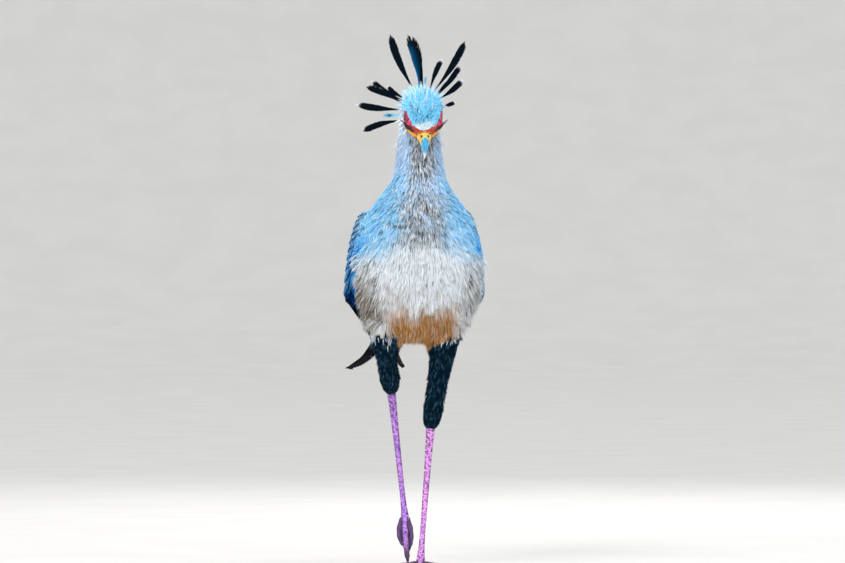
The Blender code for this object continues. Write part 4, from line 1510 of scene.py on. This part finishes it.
def makeTail():
    parts = []
    base = {"camber": 0.2, "rough": 0.4, "shaft": 1.3, "bare": 0.04} | tail["barbs"]
    rows = smoothRows(tail["stations"], 40)
    for pair in range(tail["pairs"]):
        for way in (-1, 1):
            outer = pair / (tail["pairs"] - 1)
            end = tail["stations"][-1][0] - tail["outerShorter"] * outer
            y = np.linspace(296, end, 26)
            share = (y - y[0]) / (y[-1] - y[0])
            half = np.interp(y, rows[:, 0], rows[:, 2])
            z = np.interp(y, rows[:, 0], rows[:, 1])
            thick = np.interp(y, rows[:, 0], rows[:, 3])
            x = way * (0.12 + 0.52 * outer) * half
            z = z + thick * (0.75 - 1.3 * outer) + 0.7 * way
            path = fromBody(np.stack([x, y, z], -1))
            widths = tail["half"] * mm * ease(-0.25, 0.25, share)
            widths *= roundedEnd(share, 0.93, 0.075)
            face = pose["bodyTurn"] @ np.array([way * 0.35 * outer, 0.25, 0.97])
            spec = base | {"lean": {-way: 1.1, way: 0.75}}
            draw = seeded(400 + pair * 2 + (way > 0))
            parts.append(makeFeather(path, widths, face, spec, draw, tailMark))
    featherPiece("tailFeathers", parts, "wing_feathers", "tail")
    rows = smoothRows(tail["streamer"], 48)
    for side, way in sides.items():
        share = np.linspace(0, 1, len(rows))
        x = way * rows[:, 1] * (1 - 0.12 * share**2) + tail["drift"] * share
        path = fromBody(np.stack([x, rows[:, 0], rows[:, 2] + way * tail["lift"] - 5 * share**2], -1))
        # one lies flatter to the eye and is worn narrow
        worn = 1 - 0.3 * np.exp(-(((share - 0.8) / 0.05) ** 2))
        if way > 0:
            worn = 0.5 + 0.12 * np.sin(9 * share)
        widths = rows[:, 3] * mm * worn
        draw = seeded(430 + (way > 0))
        spec = base | {"split": 2.6, "clusters": 12, "shaft": 1.1, "spacing": 1.5, "tapering": 0.35}
        face = pose["bodyTurn"] @ np.array([0, -0.3, 1.0])
        part = makeFeather(path, widths, face, spec, draw, streamerMark)
        featherPiece("streamer" + side.title(), [part], "black_feathers", "tail_streamer_" + side)


print("feathers: tail")
makeTail()

wings = {
    # y, x, z, half thickness, half height and lean, in the body's frame
    "stations": (
        (-116, 112, 758, 5, 50, 10), (-104, 119, 752, 16, 79, 10),
        (-84, 125, 740, 25, 106, 9), (-40, 130, 719, 28, 133, 6),
        (30, 129, 709, 28, 134, 6), (100, 118, 703, 28, 129, 12),
        (170, 98, 695, 25, 112, 20), (240, 75, 689, 21, 87, 31), (315, 55, 679, 16, 66, 35),
        (400, 40, 671, 11, 46, 36), (475, 32, 664, 7, 29, 30), (532, 29, 659, 3, 13, 24),
    ),
    "barbs": {"spacing": 2.1, "angle": 38, "clusters": 8, "split": 1.5, "fray": 0.03},
    "coverts": {"spacing": 2.6, "angle": 42, "clusters": 4, "split": 4.0, "fray": 0.08},
    "primaries": 10,
    "secondaries": 15,
    "scapulars": 9,
    # rows of coverts: v of the roots, fall of the tips, length, half width, height, depth of colour
    "rows": (
        (-0.74, 0.2, 62, 10.5, 3.2, 1.0),
        (-0.58, 0.22, 66, 11, 3.8, 1.0),
        (-0.4, 0.24, 66, 11, 4.4, 0.8),
        (-0.2, 0.24, 56, 10.5, 5.0, 0.5),
        (0.0, 0.2, 46, 9.5, 5.4, 0.32),
        (0.17, 0.17, 38, 9, 5.7, 0.26),
        (0.32, 0.15, 34, 8.5, 5.9, 0.22),
        (0.46, 0.14, 32, 8.5, 6.1, 0.18),
        (0.59, 0.13, 30, 8, 6.2, 0.15),
        (0.71, 0.12, 30, 8, 6.2, 0.12),
        (0.82, 0.11, 30, 8, 6.2, 0.1),
        (0.91, 0.09, 30, 8, 6.2, 0.1),
        (0.97, 0.06, 30, 8, 6.2, 0.1),
    ),
    # how far back the lowest rows reach
    "rowEnds": (40, 120, 260),
}
wingRows = smoothRows(wings["stations"], 90)


def wingAt(side, y, v, above):
    # a place over the outer face of the folded wing: y along it, v from -1 low to 1 high
    way = sides[side]
    x, z, thick, high, lean = (np.interp(y, wingRows[:, 0], wingRows[:, k]) for k in range(1, 6))
    lean = np.radians(lean)
    v = np.clip(v, -0.999, 0.999)
    out = np.sqrt(1 - v**2)
    up = np.stack([-way * np.sin(lean), 0 * lean, np.cos(lean)], -1)
    across = np.stack([way * np.cos(lean), 0 * lean, np.sin(lean)], -1)
    middle = np.stack([way * x, y, z], -1)
    normal = unit(up * (v / high)[:, None] + across * (out / thick)[:, None])
    # towards the front edge the face turns forwards
    normal = unit(normal - np.array([0, 1.0, 0]) * (0.9 * ease(-70, -112, y))[:, None])
    spot = middle + up * (high * v)[:, None] + across * (thick * out)[:, None] + normal * above[:, None]
    return fromBody(spot), normal @ pose["bodyTurn"].T


def wingFeather(side, start, end, half, heights, spec, seed, mark, tip, steps):
    # start and end are (y, v) on the wing, heights how far off it they lie
    share = np.linspace(0, 1, steps)
    y = start[0] + (end[0] - start[0]) * share
    v = start[1] + (end[1] - start[1]) * share
    above = heights[0] + (heights[1] - heights[0]) * share
    path, normals = wingAt(side, y, v, above)
    path = tucked(path, sides[side])
    widths = half * mm * ease(-0.35, 0.3, share)
    widths *= roundedEnd(share, tip, 1.005 - tip)
    return makeFeather(path, widths, normals, spec, seeded(seed), mark)


def quillMark(share, lateral):
    return plainMarks(share, dark=0.995, teal=0.2)


def covertMark(depth, front, seed):
    # vivid blue with navy towards the front edge, greyer further back, black low down
    def mark(share, lateral):
        centre = np.exp(-((lateral / 0.4) ** 2)) * ease(0.25, 0.6, share)
        fade = np.sin(seed * 7.3) * 0.5 + 0.5
        navy = front * (fade > 0.55) * ease(0.2, 0.5, share)
        dark = np.clip(depth * (0.3 + 0.7 * centre) + 0.75 * navy * (0.4 + 0.6 * centre), 0, 1)
        mottle = np.sin(9 * lateral + 5 * seed) * np.sin(13 * share + 3 * seed)
        dark = np.maximum(dark, 0.85 * front * ease(0.3, 0.55, mottle))
        dark = np.where(depth > 0.97, 1.0, dark)
        rim = 0.1 * ease(0.8, 1.0, share) * (1 - depth)
        vivid = (0.2 + 0.75 * front) * (0.7 + 0.3 * fade) * ease(0.05, 0.26, depth)
        grey = (0.3 + 0.3 * fade) * (1 - front)
        tan = grey * ease(0.05, 0.2, depth)
        return plainMarks(share, vivid=vivid, sky=0.5, tan=tan, dark=dark, white=rim)

    return mark


def makeWing(side):
    parts, number = [], 0
    base = {"camber": 0.16, "rough": 0.4, "shaft": 1.2, "bare": 0.04} | wings["barbs"]
    small = {"camber": 0.3, "rough": 0.5, "shaft": 0.5, "bare": 0.05} | wings["coverts"]
    way = sides[side]
    # the long quills, each with a broader outer vane
    quills = base | {"lean": {way: 1.15, -way: 0.8}}
    for k in range(wings["primaries"]):
        share = k / (wings["primaries"] - 1)
        start = (95 + 70 * share, -0.55 + 0.75 * share)
        end = (420 + 112 * share, -0.45 + 0.5 * share)
        heights = (-3, 1.0 + 0.5 * k)
        parts.append(wingFeather(side, start, end, 15, heights, quills, 500 + k, quillMark, 0.9, 22))
    for k in range(wings["secondaries"]):
        share = k / (wings["secondaries"] - 1)
        start = (-92 + 235 * share, -0.32 + 0.22 * share)
        end = (35 + 310 * share, -0.93 + 0.2 * share)
        heights = (-3, 2.0 + 0.25 * k)
        parts.append(wingFeather(side, start, end, 16, heights, quills, 520 + k, quillMark, 0.9, 20))
    featherPiece("wingQuills" + side.title(), parts, "black_feathers")
    parts = []
    for row, (v, fall, length, half, height, depth) in enumerate(wings["rows"]):
        step = half * 1.35
        back = wings["rowEnds"][row] if row < len(wings["rowEnds"]) else 250 - 110 * max(v, 0)
        for k in range(int((back + 120) / step)):
            number += 1
            draw = seeded(600 + number)
            y = -120 + step * (k + 0.5 * (row % 2)) + draw.normal(0, 1.5)
            span = length * draw.uniform(0.85, 1.15) * (1 + 0.35 * ease(60, 220, y))
            start = (y, v + draw.normal(0, 0.015))
            end = (y + span, v - fall * draw.uniform(0.8, 1.2))
            mark = covertMark(depth, float(ease(40, -70, y)), number)
            heights = (height - 4.0, height - 0.8)
            parts.append(wingFeather(side, start, end, half, heights, small, 700 + number, mark, 0.62, 9))
    featherPiece("wingCoverts" + side.title(), parts, "wing_feathers")
    parts = []
    # long feathers over the join of wing and back
    for k in range(wings["scapulars"]):
        share = k / (wings["scapulars"] - 1)
        start = (-30 + 150 * share, 0.9 - 0.05 * share)
        end = (150 + 200 * share, 0.75 + 0.1 * share)
        mark = covertMark(0.1, 0.0, 3 * k)
        parts.append(wingFeather(side, start, end, 15, (2, 8 + 0.3 * k), base, 900 + k, mark, 0.8, 14))
    featherPiece("scapulars" + side.title(), parts, "wing_feathers")


print("feathers: wings")
for side in sides:
    makeWing(side)


beak = {
    # ahead of the eyes, ridge, cutting edge, half width, lean of the section
    "upper": (
        (28, 11.0, -7.5, 20, 0), (34, 10.2, -8.4, 17.5, 0), (41, 9.0, -9, 14.3, 0),
        (47, 8.2, -9.6, 12, 2), (52, 6.8, -10.2, 10.6, 5), (57, 4.2, -11, 9.4, 10),
        (63, 0, -13, 8.0, 18), (70, -8, -18.5, 6.0, 32), (75, -18, -26, 3.9, 50),
        (77.6, -28, -33, 2.1, 68), (77.8, -37, -38, 0.6, 85),
    ),
    "lower": (
        (26, -9, -17.5, 17.5, 0), (34, -9.2, -17.2, 13.5, 0), (41, -9.6, -16.8, 10.8, 0),
        (47, -10.6, -17.6, 9.3, 0), (54, -11.9, -18, 7, 8), (60, -14.4, -18.6, 4, 16),
        (63, -16.7, -18.7, 1.5, 20),
    ),
    "nostril": (43.2, 5.4),
    "nostrilSize": (3.9, 2.9),
    "nostrilDepth": 2.2,
}


def billRings(stations, rings, points, underside):
    rows = smoothRows(stations, rings)
    ahead, ridge, edge, half, lean = rows.T
    lean = np.radians(lean)[:, None]
    turn = np.linspace(0, 2 * pi, points, endpoint=False)[None, :]
    top = np.sin(turn)
    height = (ridge - edge)[:, None]
    if underside:
        top = -top
    body = np.where(top > 0, np.abs(top) ** 0.8, -0.1 * np.abs(top))
    rise = height * (body - 0.5) if not underside else height * (0.5 - body)
    x = half[:, None] * np.sign(np.cos(turn)) * np.abs(np.cos(turn)) ** 0.85
    middle = ((ridge + edge) / 2)[:, None]
    s = ahead[:, None] + rise * np.sin(lean)
    t = middle + rise * np.cos(lean)
    return x + 0 * s, s, t, turn + 0 * s, ahead[:, None] + 0 * s


def makeBill():
    x, s, t, turn, ahead = billRings(beak["upper"], 110, 56, False)
    border = 48.5 + 8 * ease(0.3, 0.95, np.abs(np.cos(turn))) + 0.4 * np.sin(3 * turn)
    cere = ease(border + 0.5, border - 0.5, ahead)
    spot, small = beak["nostril"], beak["nostrilSize"]
    away = np.hypot((s - spot[0] + 0.35 * (t - spot[1])) / small[0], (t - spot[1]) / small[1])
    away = np.where(np.abs(x) > 5, away, 9)
    # the nostril is sunk in and painted dark there: painted shade in the hollow
    hole = ease(1.15, 0.6, away)
    groove, rim = np.exp(-(((ahead - border) / 0.6) ** 2)), np.exp(-(((away - 1.45) / 0.3) ** 2))
    swell = 0.45 * cere - 0.35 * groove + 0.4 * rim - beak["nostrilDepth"] * hole
    outX, outT = np.cos(turn), np.sin(turn)
    x, t = x + swell * outX * (np.abs(outX) > 0.05), t + swell * outT * (outT > 0)
    # a painted shadow along the cere's border on the bill's upper sides
    borderShadow = np.exp(-(((ahead - border + 0.2) / 1.3) ** 2)) * ease(0.5, 0.7, np.abs(outX))
    borderShadow = borderShadow * ease(0.98, 0.85, np.abs(outX)) * (outT > 0)
    tip = ease(70.5, 77.0, ahead)
    side = 0.5 * ease(0.5, 0.9, np.abs(outX)) * (1 - cere)
    upper = fromHead(x, s, t).reshape(-1, 3)
    marks = np.stack([side, tip, np.clip(hole + 0.7 * borderShadow, 0, 1), cere], -1).reshape(-1, 4)
    flush = ease(38.5, 34.5, ahead + 1.2 * np.sin(5 * turn)).ravel()
    flush = flush * (1 - 0.5 * ease(0.1, 0.6, noiseAt(upper, 0.003, 12)))
    parts = [(upper, ringFaces(110, 56), {"first": marks, "along": ahead.ravel() / 80, "flush": flush})]
    x, s, t, turn, ahead = billRings(beak["lower"], 60, 40, True)
    lower = fromHead(x, s, t).reshape(-1, 3)
    cere = ease(41, 37, ahead)
    marks = np.stack([0.8 + 0 * s, 0.3 * ease(56, 63, ahead), 0 * s, cere], -1).reshape(-1, 4)
    flush = 0.6 * ease(34, 30, ahead).ravel()
    parts.append((lower, ringFaces(60, 40), {"first": marks, "along": ahead.ravel() / 80, "flush": flush}))
    places, faceSets, marks = joinParts(parts)
    piece = build("bill", places, faceSets, [billLook], marks)
    finished(piece, "bill", *[n for n in nodes if "bill" in n])


def makeEyes():
    for side in sides:
        middle, out, fore, up = eyeFrame(side)
        rings, points = 40, 40
        angle = np.linspace(0.001, pi, rings)[:, None]
        turn = np.linspace(0, 2 * pi, points, endpoint=False)[None, :]
        radius = eyes["radius"] + 0.7 * np.exp(-((angle / 0.42) ** 2))
        local = out * (np.cos(angle) * radius)[..., None]
        local = local + fore * (np.sin(angle) * np.cos(turn) * radius)[..., None]
        local = local + up * (np.sin(angle) * np.sin(turn) * radius)[..., None]
        places = fromHead(*np.moveaxis(middle + local, -1, 0)).reshape(-1, 3)
        along = (angle + 0 * turn).ravel()
        piece = build("eye" + side.title(), places, ringFaces(rings, points), [eyeLook], {"along": along})
        finished(piece, "eyes", *[n for n in nodes if n.startswith("eye") and side in n])


# each row of lashes: their length at its front, past its middle and at its back
lashes = {"count": 17, "length": (8, 14, 13), "radius": 0.5, "points": 5}


def makeLashes():
    parts = []
    for side, way in sides.items():
        middle, out, fore, up = eyeFrame(side)
        draw = seeded(950 + (way > 0))
        for k in range(lashes["count"]):
            share = k / (lashes["count"] - 1)
            angle = radians(35 + 115 * share)
            a, b = eyes["opening"]
            root = out * 9.5 + fore * (a * 1.1 * cos(angle)) + up * (b * 1.15 * sin(angle) - 1.2)
            root = unit(root) * (skin["lidRadius"] + 0.3)
            heading = out * 0.8 + up * 0.6 - fore * (0.2 + 0.8 * share) + draw.normal(0, 0.07, 3)
            length = np.interp(share, (0, 0.6, 1), lashes["length"]) * draw.uniform(0.85, 1.1)
            t = np.linspace(0, 1, 7)[:, None]
            line = middle + root + unit(heading) * length * t + up * 2.2 * t**2 - fore * 1.5 * t**2
            radius = lashes["radius"] * (1 - t[:, 0]) ** 0.7 + 0.05
            tangent = unit(np.gradient(line, axis=0))
            first = unit(np.cross(tangent, out + 0.3 * up))
            second = np.cross(tangent, first)
            rings = ringsRound(line, first, second, radius, lashes["points"])
            places = fromHead(*np.moveaxis(rings, -1, 0)).reshape(-1, 3)
            along = np.repeat(t[:, 0], lashes["points"])
            parts.append((places, ringFaces(len(line), lashes["points"]), {"along": along}))
    places, faceSets, marks = joinParts(parts)
    finished(build("lashes", places, faceSets, [clawLook], marks), "claws")


print("head: bill, eyes and lashes")
makeBill()
makeEyes()
makeLashes()


feet = {
    # the bare shank: the share of the way down, and the radius there
    "tarsus": ((-0.02, 9), (0.04, 11), (0.1, 9.8), (0.3, 8.2))
    + ((0.55, 7.2), (0.8, 6.6), (0.93, 7.4), (1.0, 9.5)),
    "depth": 1.12,
    # below the shank: height and radius of the standing foot's pad, way down and radius of the other's
    "pad": ((8, 11), (3, 11), (0, 9)),
    "hangingEnd": ((7, 9.5), (12, 5.7)),
    "turn": {"middle": -2, "inner": -40, "outer": 35, "hind": 172},
    "length": {"middle": 84, "inner": 62, "outer": 60, "hind": 30},
    "half": {"middle": 7.4, "inner": 7.0, "outer": 6.8, "hind": 6.4},
    "claw": {"middle": 23, "inner": 24, "outer": 20, "hind": 25},
    "hangingFuller": 1.22,
    "hanging": {
        "middle": ((0, -3, -8), (0, -7, -50), (6, 0, -101)),
        "inner": ((5, 5, -8), (18, 8, -45), (13, 12, -72)),
        "outer": ((-5, 5, -8), (-20, 8, -45), (-5, 12, -70)),
        "hind": ((0, 6, 1), (0, 24, 0), (0, 28, -24)),
    },
    "voxel": 1.06,
    # scales on the shank and on a toe: pitch of the front plates, size of the round ones
    "plate": (5.4, 3.6),
    "scale": (3.2, 2.6),
    "relief": {"plate": 0.55, "scale": 0.42, "pad": 0.35},
    "clawSteps": 5,
    "clawRings": 28,
    "clawPoints": 20,
}


def clawArc(start, heading, fall, length, bend):
    steps = feet["clawSteps"]
    heading, fall = unit(np.array(heading, float)), unit(np.array(fall, float))
    path = [np.array(start, float)]
    for k in range(steps):
        turn = radians(bend) * (k + 0.5) / steps
        path.append(path[-1] + unit(heading * cos(turn) + fall * sin(turn)) * (length / steps))
    return np.array(path)


def toePaths(side, name):
    # the middle lines of a toe and its claw, in mm, and the way that the toe's top looks
    half = feet["half"][name]
    share = np.linspace(0, 1, 40)[:, None]
    if side == "left":
        angle = radians(feet["turn"][name])
        heading = np.array([sin(angle), -cos(angle), 0])
        start = heading * 7 + np.array([0, 0, half * 0.82 + 1])
        end = start + heading * feet["length"][name] - np.array([0, 0, 2])
        path = start + (end - start) * share
        start0, way = end - heading, heading + np.array([0, 0, 0.35])
        claw = clawArc(start0, way, (0, 0, -1), feet["claw"][name], 52)
        top = np.array([0, 0, 1.0])
    else:
        start, middle, end = (np.array(p, float) + limbs["foot"]["right"] for p in feet["hanging"][name])
        path = (start + (middle - start) * share) * (1 - share) + (middle + (end - middle) * share) * share
        heading = unit(path[-1] - path[-2])
        claw = clawArc(end - heading, heading, (0, 1, 0), feet["claw"][name], 45)
        top = np.array([0, -1.0, 0]) if name != "hind" else np.array([0, 1.0, 0.4])
    return path, claw, top


def tubeRings(path, across, radii, points, depth=1.0):
    # a tube round a path, its section deeper by depth, and nowhere below the floor
    tangent = unit(np.gradient(path, axis=0))
    side = unit(np.cross(tangent, across))
    front = np.cross(side, tangent)
    places = ringsRound(path, side, front * depth, radii, points)
    places[..., 2] = np.maximum(places[..., 2], 0)
    return places


def legTubes(side):
    # the shank and the toes as tubes, and each tube's path, radii and front
    tubes, parts = [], []
    ankle, joint = (np.array(limbs[key][side], float) for key in ("ankle", "foot"))
    share = np.linspace(-0.02, 1, 70)
    radii = np.interp(share, *np.array(smoothRows(feet["tarsus"], 60)).T)
    path = ankle + (joint - ankle) * share[:, None]
    if side == "left":
        path = np.vstack([path, [(0, 0, height) for height, _ in feet["pad"]]])
        radii = np.append(radii, [radius for _, radius in feet["pad"]])
    else:
        down = unit(joint - ankle)
        path = np.vstack([path, [joint + down * reach for reach, _ in feet["hangingEnd"]]])
        radii = np.append(radii, [radius for _, radius in feet["hangingEnd"]])
    front = np.array([0, -1.0, 0])
    rings = tubeRings(path, front, radii, 28, feet["depth"])
    parts.append((rings.reshape(-1, 3) * mm, ringFaces(len(path), 28), {}))
    tubes.append((path, radii, front))
    for name, half in feet["half"].items():
        path, _, top = toePaths(side, name)
        share = np.linspace(0, 1, len(path))
        radii = half * (1 - 0.2 * share) * (1 + 0.06 * np.cos(6 * pi * share))
        if side == "right" and name != "hind":
            radii *= 1 + (feet["hangingFuller"] - 1) * np.sin(pi * share)
        # closed roundly at the tip
        tip = path[-1] + unit(path[-1] - path[-2]) * np.array([[1.5], [3.0], [4.0]])
        path = np.vstack([path, tip])
        radii = np.append(radii, radii[-1] * np.array([0.93, 0.72, 0.4]))
        rings = tubeRings(path, top, radii, 24)
        parts.append((rings.reshape(-1, 3) * mm, ringFaces(len(path), 24), {}))
        tubes.append((path, radii, top))
    return parts, tubes


def alongTubes(points, tubes):
    # for each point the way along the nearest tube, the angle round it, the tube and its radius
    best = np.full(len(points), 1e9)
    along, turn, which, radiusAt = (np.zeros(len(points)) for _ in range(4))
    for index, (path, radii, front) in enumerate(tubes):
        distances = np.linalg.norm(points[:, None] - path[None], axis=-1) - radii[None]
        nearest = distances.argmin(1)
        least = distances[np.arange(len(points)), nearest]
        take = least < best
        tangent = unit(np.gradient(path, axis=0))
        aside = unit(np.cross(tangent, front))
        ahead = np.cross(aside, tangent)
        offset = points - path[nearest]
        travel = np.concatenate([[0], np.cumsum(np.linalg.norm(np.diff(path, axis=0), axis=1))])
        here = travel[nearest] + (offset * tangent[nearest]).sum(1)
        angle = np.arctan2((offset * aside[nearest]).sum(1), (offset * ahead[nearest]).sum(1))
        best = np.where(take, least, best)
        along, turn = np.where(take, here, along), np.where(take, angle, turn)
        which, radiusAt = np.where(take, index, which), np.where(take, radii[nearest], radiusAt)
    return along, turn, which, radiusAt


def roundScales(along, wrap, cell, which):
    # how far each point lies from the middle of its scale, and a number for each scale
    gridU, gridV = along / (cell * 0.87), wrap / cell
    nearest, mark = np.full(len(along), 9.0), np.zeros(len(along))
    for step in (0, 1):
        row = np.floor(gridU) + step
        shift = 0.5 * (row % 2)
        column = np.round(gridV - shift) + shift
        away = np.hypot((gridU - row) * 0.87, gridV - column)
        scaleMark = hashed(row * 12.9898 + column * 78.233 + which * 3.3)
        mark = np.where(away < nearest, scaleMark, mark)
        nearest = np.minimum(nearest, away)
    return nearest, mark


def makeLeg(side):
    parts, tubes = legTubes(side)
    places, faceSets, _ = joinParts(parts)
    leg = build("legParts", places, faceSets, [])
    remesh(leg, feet["voxel"] * mm)
    points, _ = readMesh(leg.data)
    pairs = edgesOf(leg.data)
    points = averaged(points, pairs, 3)
    points[:, 2] = np.maximum(points[:, 2], 0)
    writePlaces(leg.data, points)
    points, normals = readMesh(leg.data)
    points = points / mm
    along, turn, which, radiusAt = alongTubes(points, tubes)
    toe = which > 0
    wrap = turn * radiusAt
    # scutes down the front, each one's lower edge standing over the next
    relief = feet["relief"]
    pitch = np.where(toe, feet["plate"][1], feet["plate"][0])
    phase = along / pitch + 0.3 * (turn / 1.1) ** 2
    part = phase - np.floor(phase)
    plate = np.floor(phase)
    onFront = ease(1.25, 1.0, np.abs(turn))
    scute = relief["plate"] * part**0.8 * ease(1.0, 0.9, part)
    # small round scales at the sides and back
    cell = np.where(toe, feet["scale"][1], feet["scale"][0])
    nearest, mark = roundScales(along, wrap, cell, which)
    scale = relief["scale"] * np.clip(1 - (nearest / 0.56) ** 2, 0, 1)
    under = toe & (np.abs(turn) > (2.1 if side == "left" else 2.3))
    pads = relief["pad"] * np.sin(along / 4.2) * under
    height = (onFront * scute + (1 - onFront) * scale) * np.where(under, 0.35, 1) + pads
    onFloor = points[:, 2] < 0.9
    height = np.where(onFloor, np.minimum(height, 0), height)
    points = points + normals * (height - 0.25)[:, None]
    points[:, 2] = np.maximum(points[:, 2], 0)
    between = np.maximum(ease(0.9, 0.97, part), ease(0.1, 0.0, part))
    groove = onFront * between + (1 - onFront) * ease(0.4, 0.56, nearest)
    plateMark = hashed(plate * 7.77 + which * 2.1 + (turn > 0) * 4.4)
    edgeSpot = onFront * ease(0.35, 0.7, np.abs(turn)) * (plateMark > 0.45) * ease(0.2, 0.5, part)
    spot = 0.85 * edgeSpot + (1 - 0.15 * onFront) * (mark > 0.5 + 0.14 * onFront) * ease(0.6, 0.36, nearest)
    # the standing leg painted paler and pinker than the raised one, a painted difference of light between
    # the legs; the noise adds mottling
    litPink = np.full(len(points), 0.75 if side == "left" else 0.2)
    litPink = litPink + 0.25 * noiseAt(points, 30, 8)
    # the toes darker down their sides and towards their tips; the inner, outer and hind toes are painted
    # darker still, as painted shade beside the middle toe
    dark = np.where(toe, 0.9 * ease(0.55, 0.95, np.abs(turn) + 0.12 * noiseAt(points, 6, 9)), 0)
    middleToe = which == 1
    dark = np.where(toe & ~middleToe, np.maximum(dark, 0.75), dark)
    dark = np.where(toe, np.maximum(dark, 0.85 * ease(60, 85, along)), dark)
    marks = np.clip(np.stack([litPink, groove * 0.8, spot * (1 - 0.5 * dark), dark], -1), 0, 1)
    writePlaces(leg.data, points * mm)
    addMarks(leg.data, {"first": marks, "second": np.zeros((len(points), 4))})
    leg.data.materials.append(legLook)
    leg.data.shade_smooth()
    leg.name = "leg" + side.title()
    print("legs:", side, len(points), "points")
    finished(leg, "leg_skin", f"tarsus_{side}", *[f"toe_{name}_{side}" for name in feet["half"]])


def makeClaws():
    for side in sides:
        parts, replaced = [], []
        for name, half in feet["half"].items():
            _, claw, top = toePaths(side, name)
            claw = smoothRows(claw, feet["clawRings"])
            share = np.linspace(0, 1, len(claw))
            radii = half * 0.62 * (1 - share) ** 0.7 + 0.45
            radii[-1] = 0.12
            rings = tubeRings(claw, top, radii, feet["clawPoints"]).reshape(-1, 3) * mm
            along = np.repeat(share, feet["clawPoints"])
            parts.append((rings, ringFaces(len(claw), feet["clawPoints"]), {"along": along}))
            replaced.append(f"claw_{name}_{side}")
        places, faceSets, marks = joinParts(parts)
        finished(build("claws" + side.title(), places, faceSets, [clawLook], marks), "claws", *replaced)


print("legs: scales, toes and claws")
for side in sides:
    makeLeg(side)
makeClaws()


studio = {"floor": "e9e7e3", "floorSpeck": "e5e3df", "sky": "f3f5f8", "skyStrength": 0.95}
studio |= {"radius": 26.0, "wall": 12.0, "turns": 96}
studio["lamps"] = {
    # place, size, power and colour
    "key": ((-2.4, -4.4, 4.6), 2.6, 185, "fffdfa"),
    "fill": ((3.6, -3.4, 2.2), 3.0, 40, "e6f0ff"),
    "rim": ((0.8, 4.0, 3.6), 2.6, 70, "ffffff"),
}


def makeStudio():
    # a floor that turns up into a wall all round
    turns, wall = studio["turns"], studio["wall"]
    profile = [(max(studio["radius"] * k / 7, 0.01), 0.0) for k in range(8)]
    bends = [pi / 2 * k / 12 for k in range(1, 13)]
    profile += [(studio["radius"] + wall * sin(bend), wall * (1 - cos(bend))) for bend in bends]
    angles = np.arange(turns) * 2 * pi / turns
    around = np.stack([np.cos(angles), np.sin(angles), 0 * angles], -1)
    rings = [reach * around + np.array([0, 0, height]) for reach, height in profile]
    quads, first, _ = ringFaces(len(rings), turns)
    look, tree, shader = newLook("studioFloor", Roughness=0.9)
    place = placeIn(tree)
    speck = grain(tree, place, 3.0, 2.0)
    colour = mixed(tree, spread(tree, speck, 0.3, 0.7), tint(studio["floor"]), tint(studio["floorSpeck"]))
    tree.links.new(colour, shader["Base Color"])
    floor = build("studioFloor", np.concatenate(rings), [quads[:, ::-1], first[:, ::-1]], [look])
    floor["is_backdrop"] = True
    world = bpy.data.worlds.new("studio")
    scene.world = world
    world.use_nodes = True
    back = world.node_tree.nodes["Background"].inputs
    back["Color"].default_value = tint(studio["sky"])
    back["Strength"].default_value = studio["skyStrength"]
    for name, (place, size, power, code) in studio["lamps"].items():
        light = bpy.data.lights.new(name, "AREA")
        light.size, light.energy, light.color = size, power, tint(code)[:3]
        lamp = bpy.data.objects.new(name, light)
        lamp.location = place
        lamp.rotation_euler = (Vector((0, 0, 0.7)) - Vector(place)).to_track_quat("-Z", "Y").to_euler()
        scene.collection.objects.link(lamp)


camera = {"place": (0.0048, -14.0, 0.683), "lens": 248.5}


def makeCamera():
    made = bpy.data.objects.new("camera", bpy.data.cameras.new("camera"))
    made.location = camera["place"]
    made.rotation_euler = (pi / 2, 0, 0)
    made.data.lens = camera["lens"]
    made.data.clip_end = 200
    scene.collection.objects.link(made)
    scene.camera = made


makeStudio()
makeCamera()

finished(skinPiece, "body_plumage", *[n for n in nodes if regionOf(n) in fleshOf])

boxLines = [list(corner) for corner in (cadLow, cadHigh, *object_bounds())]
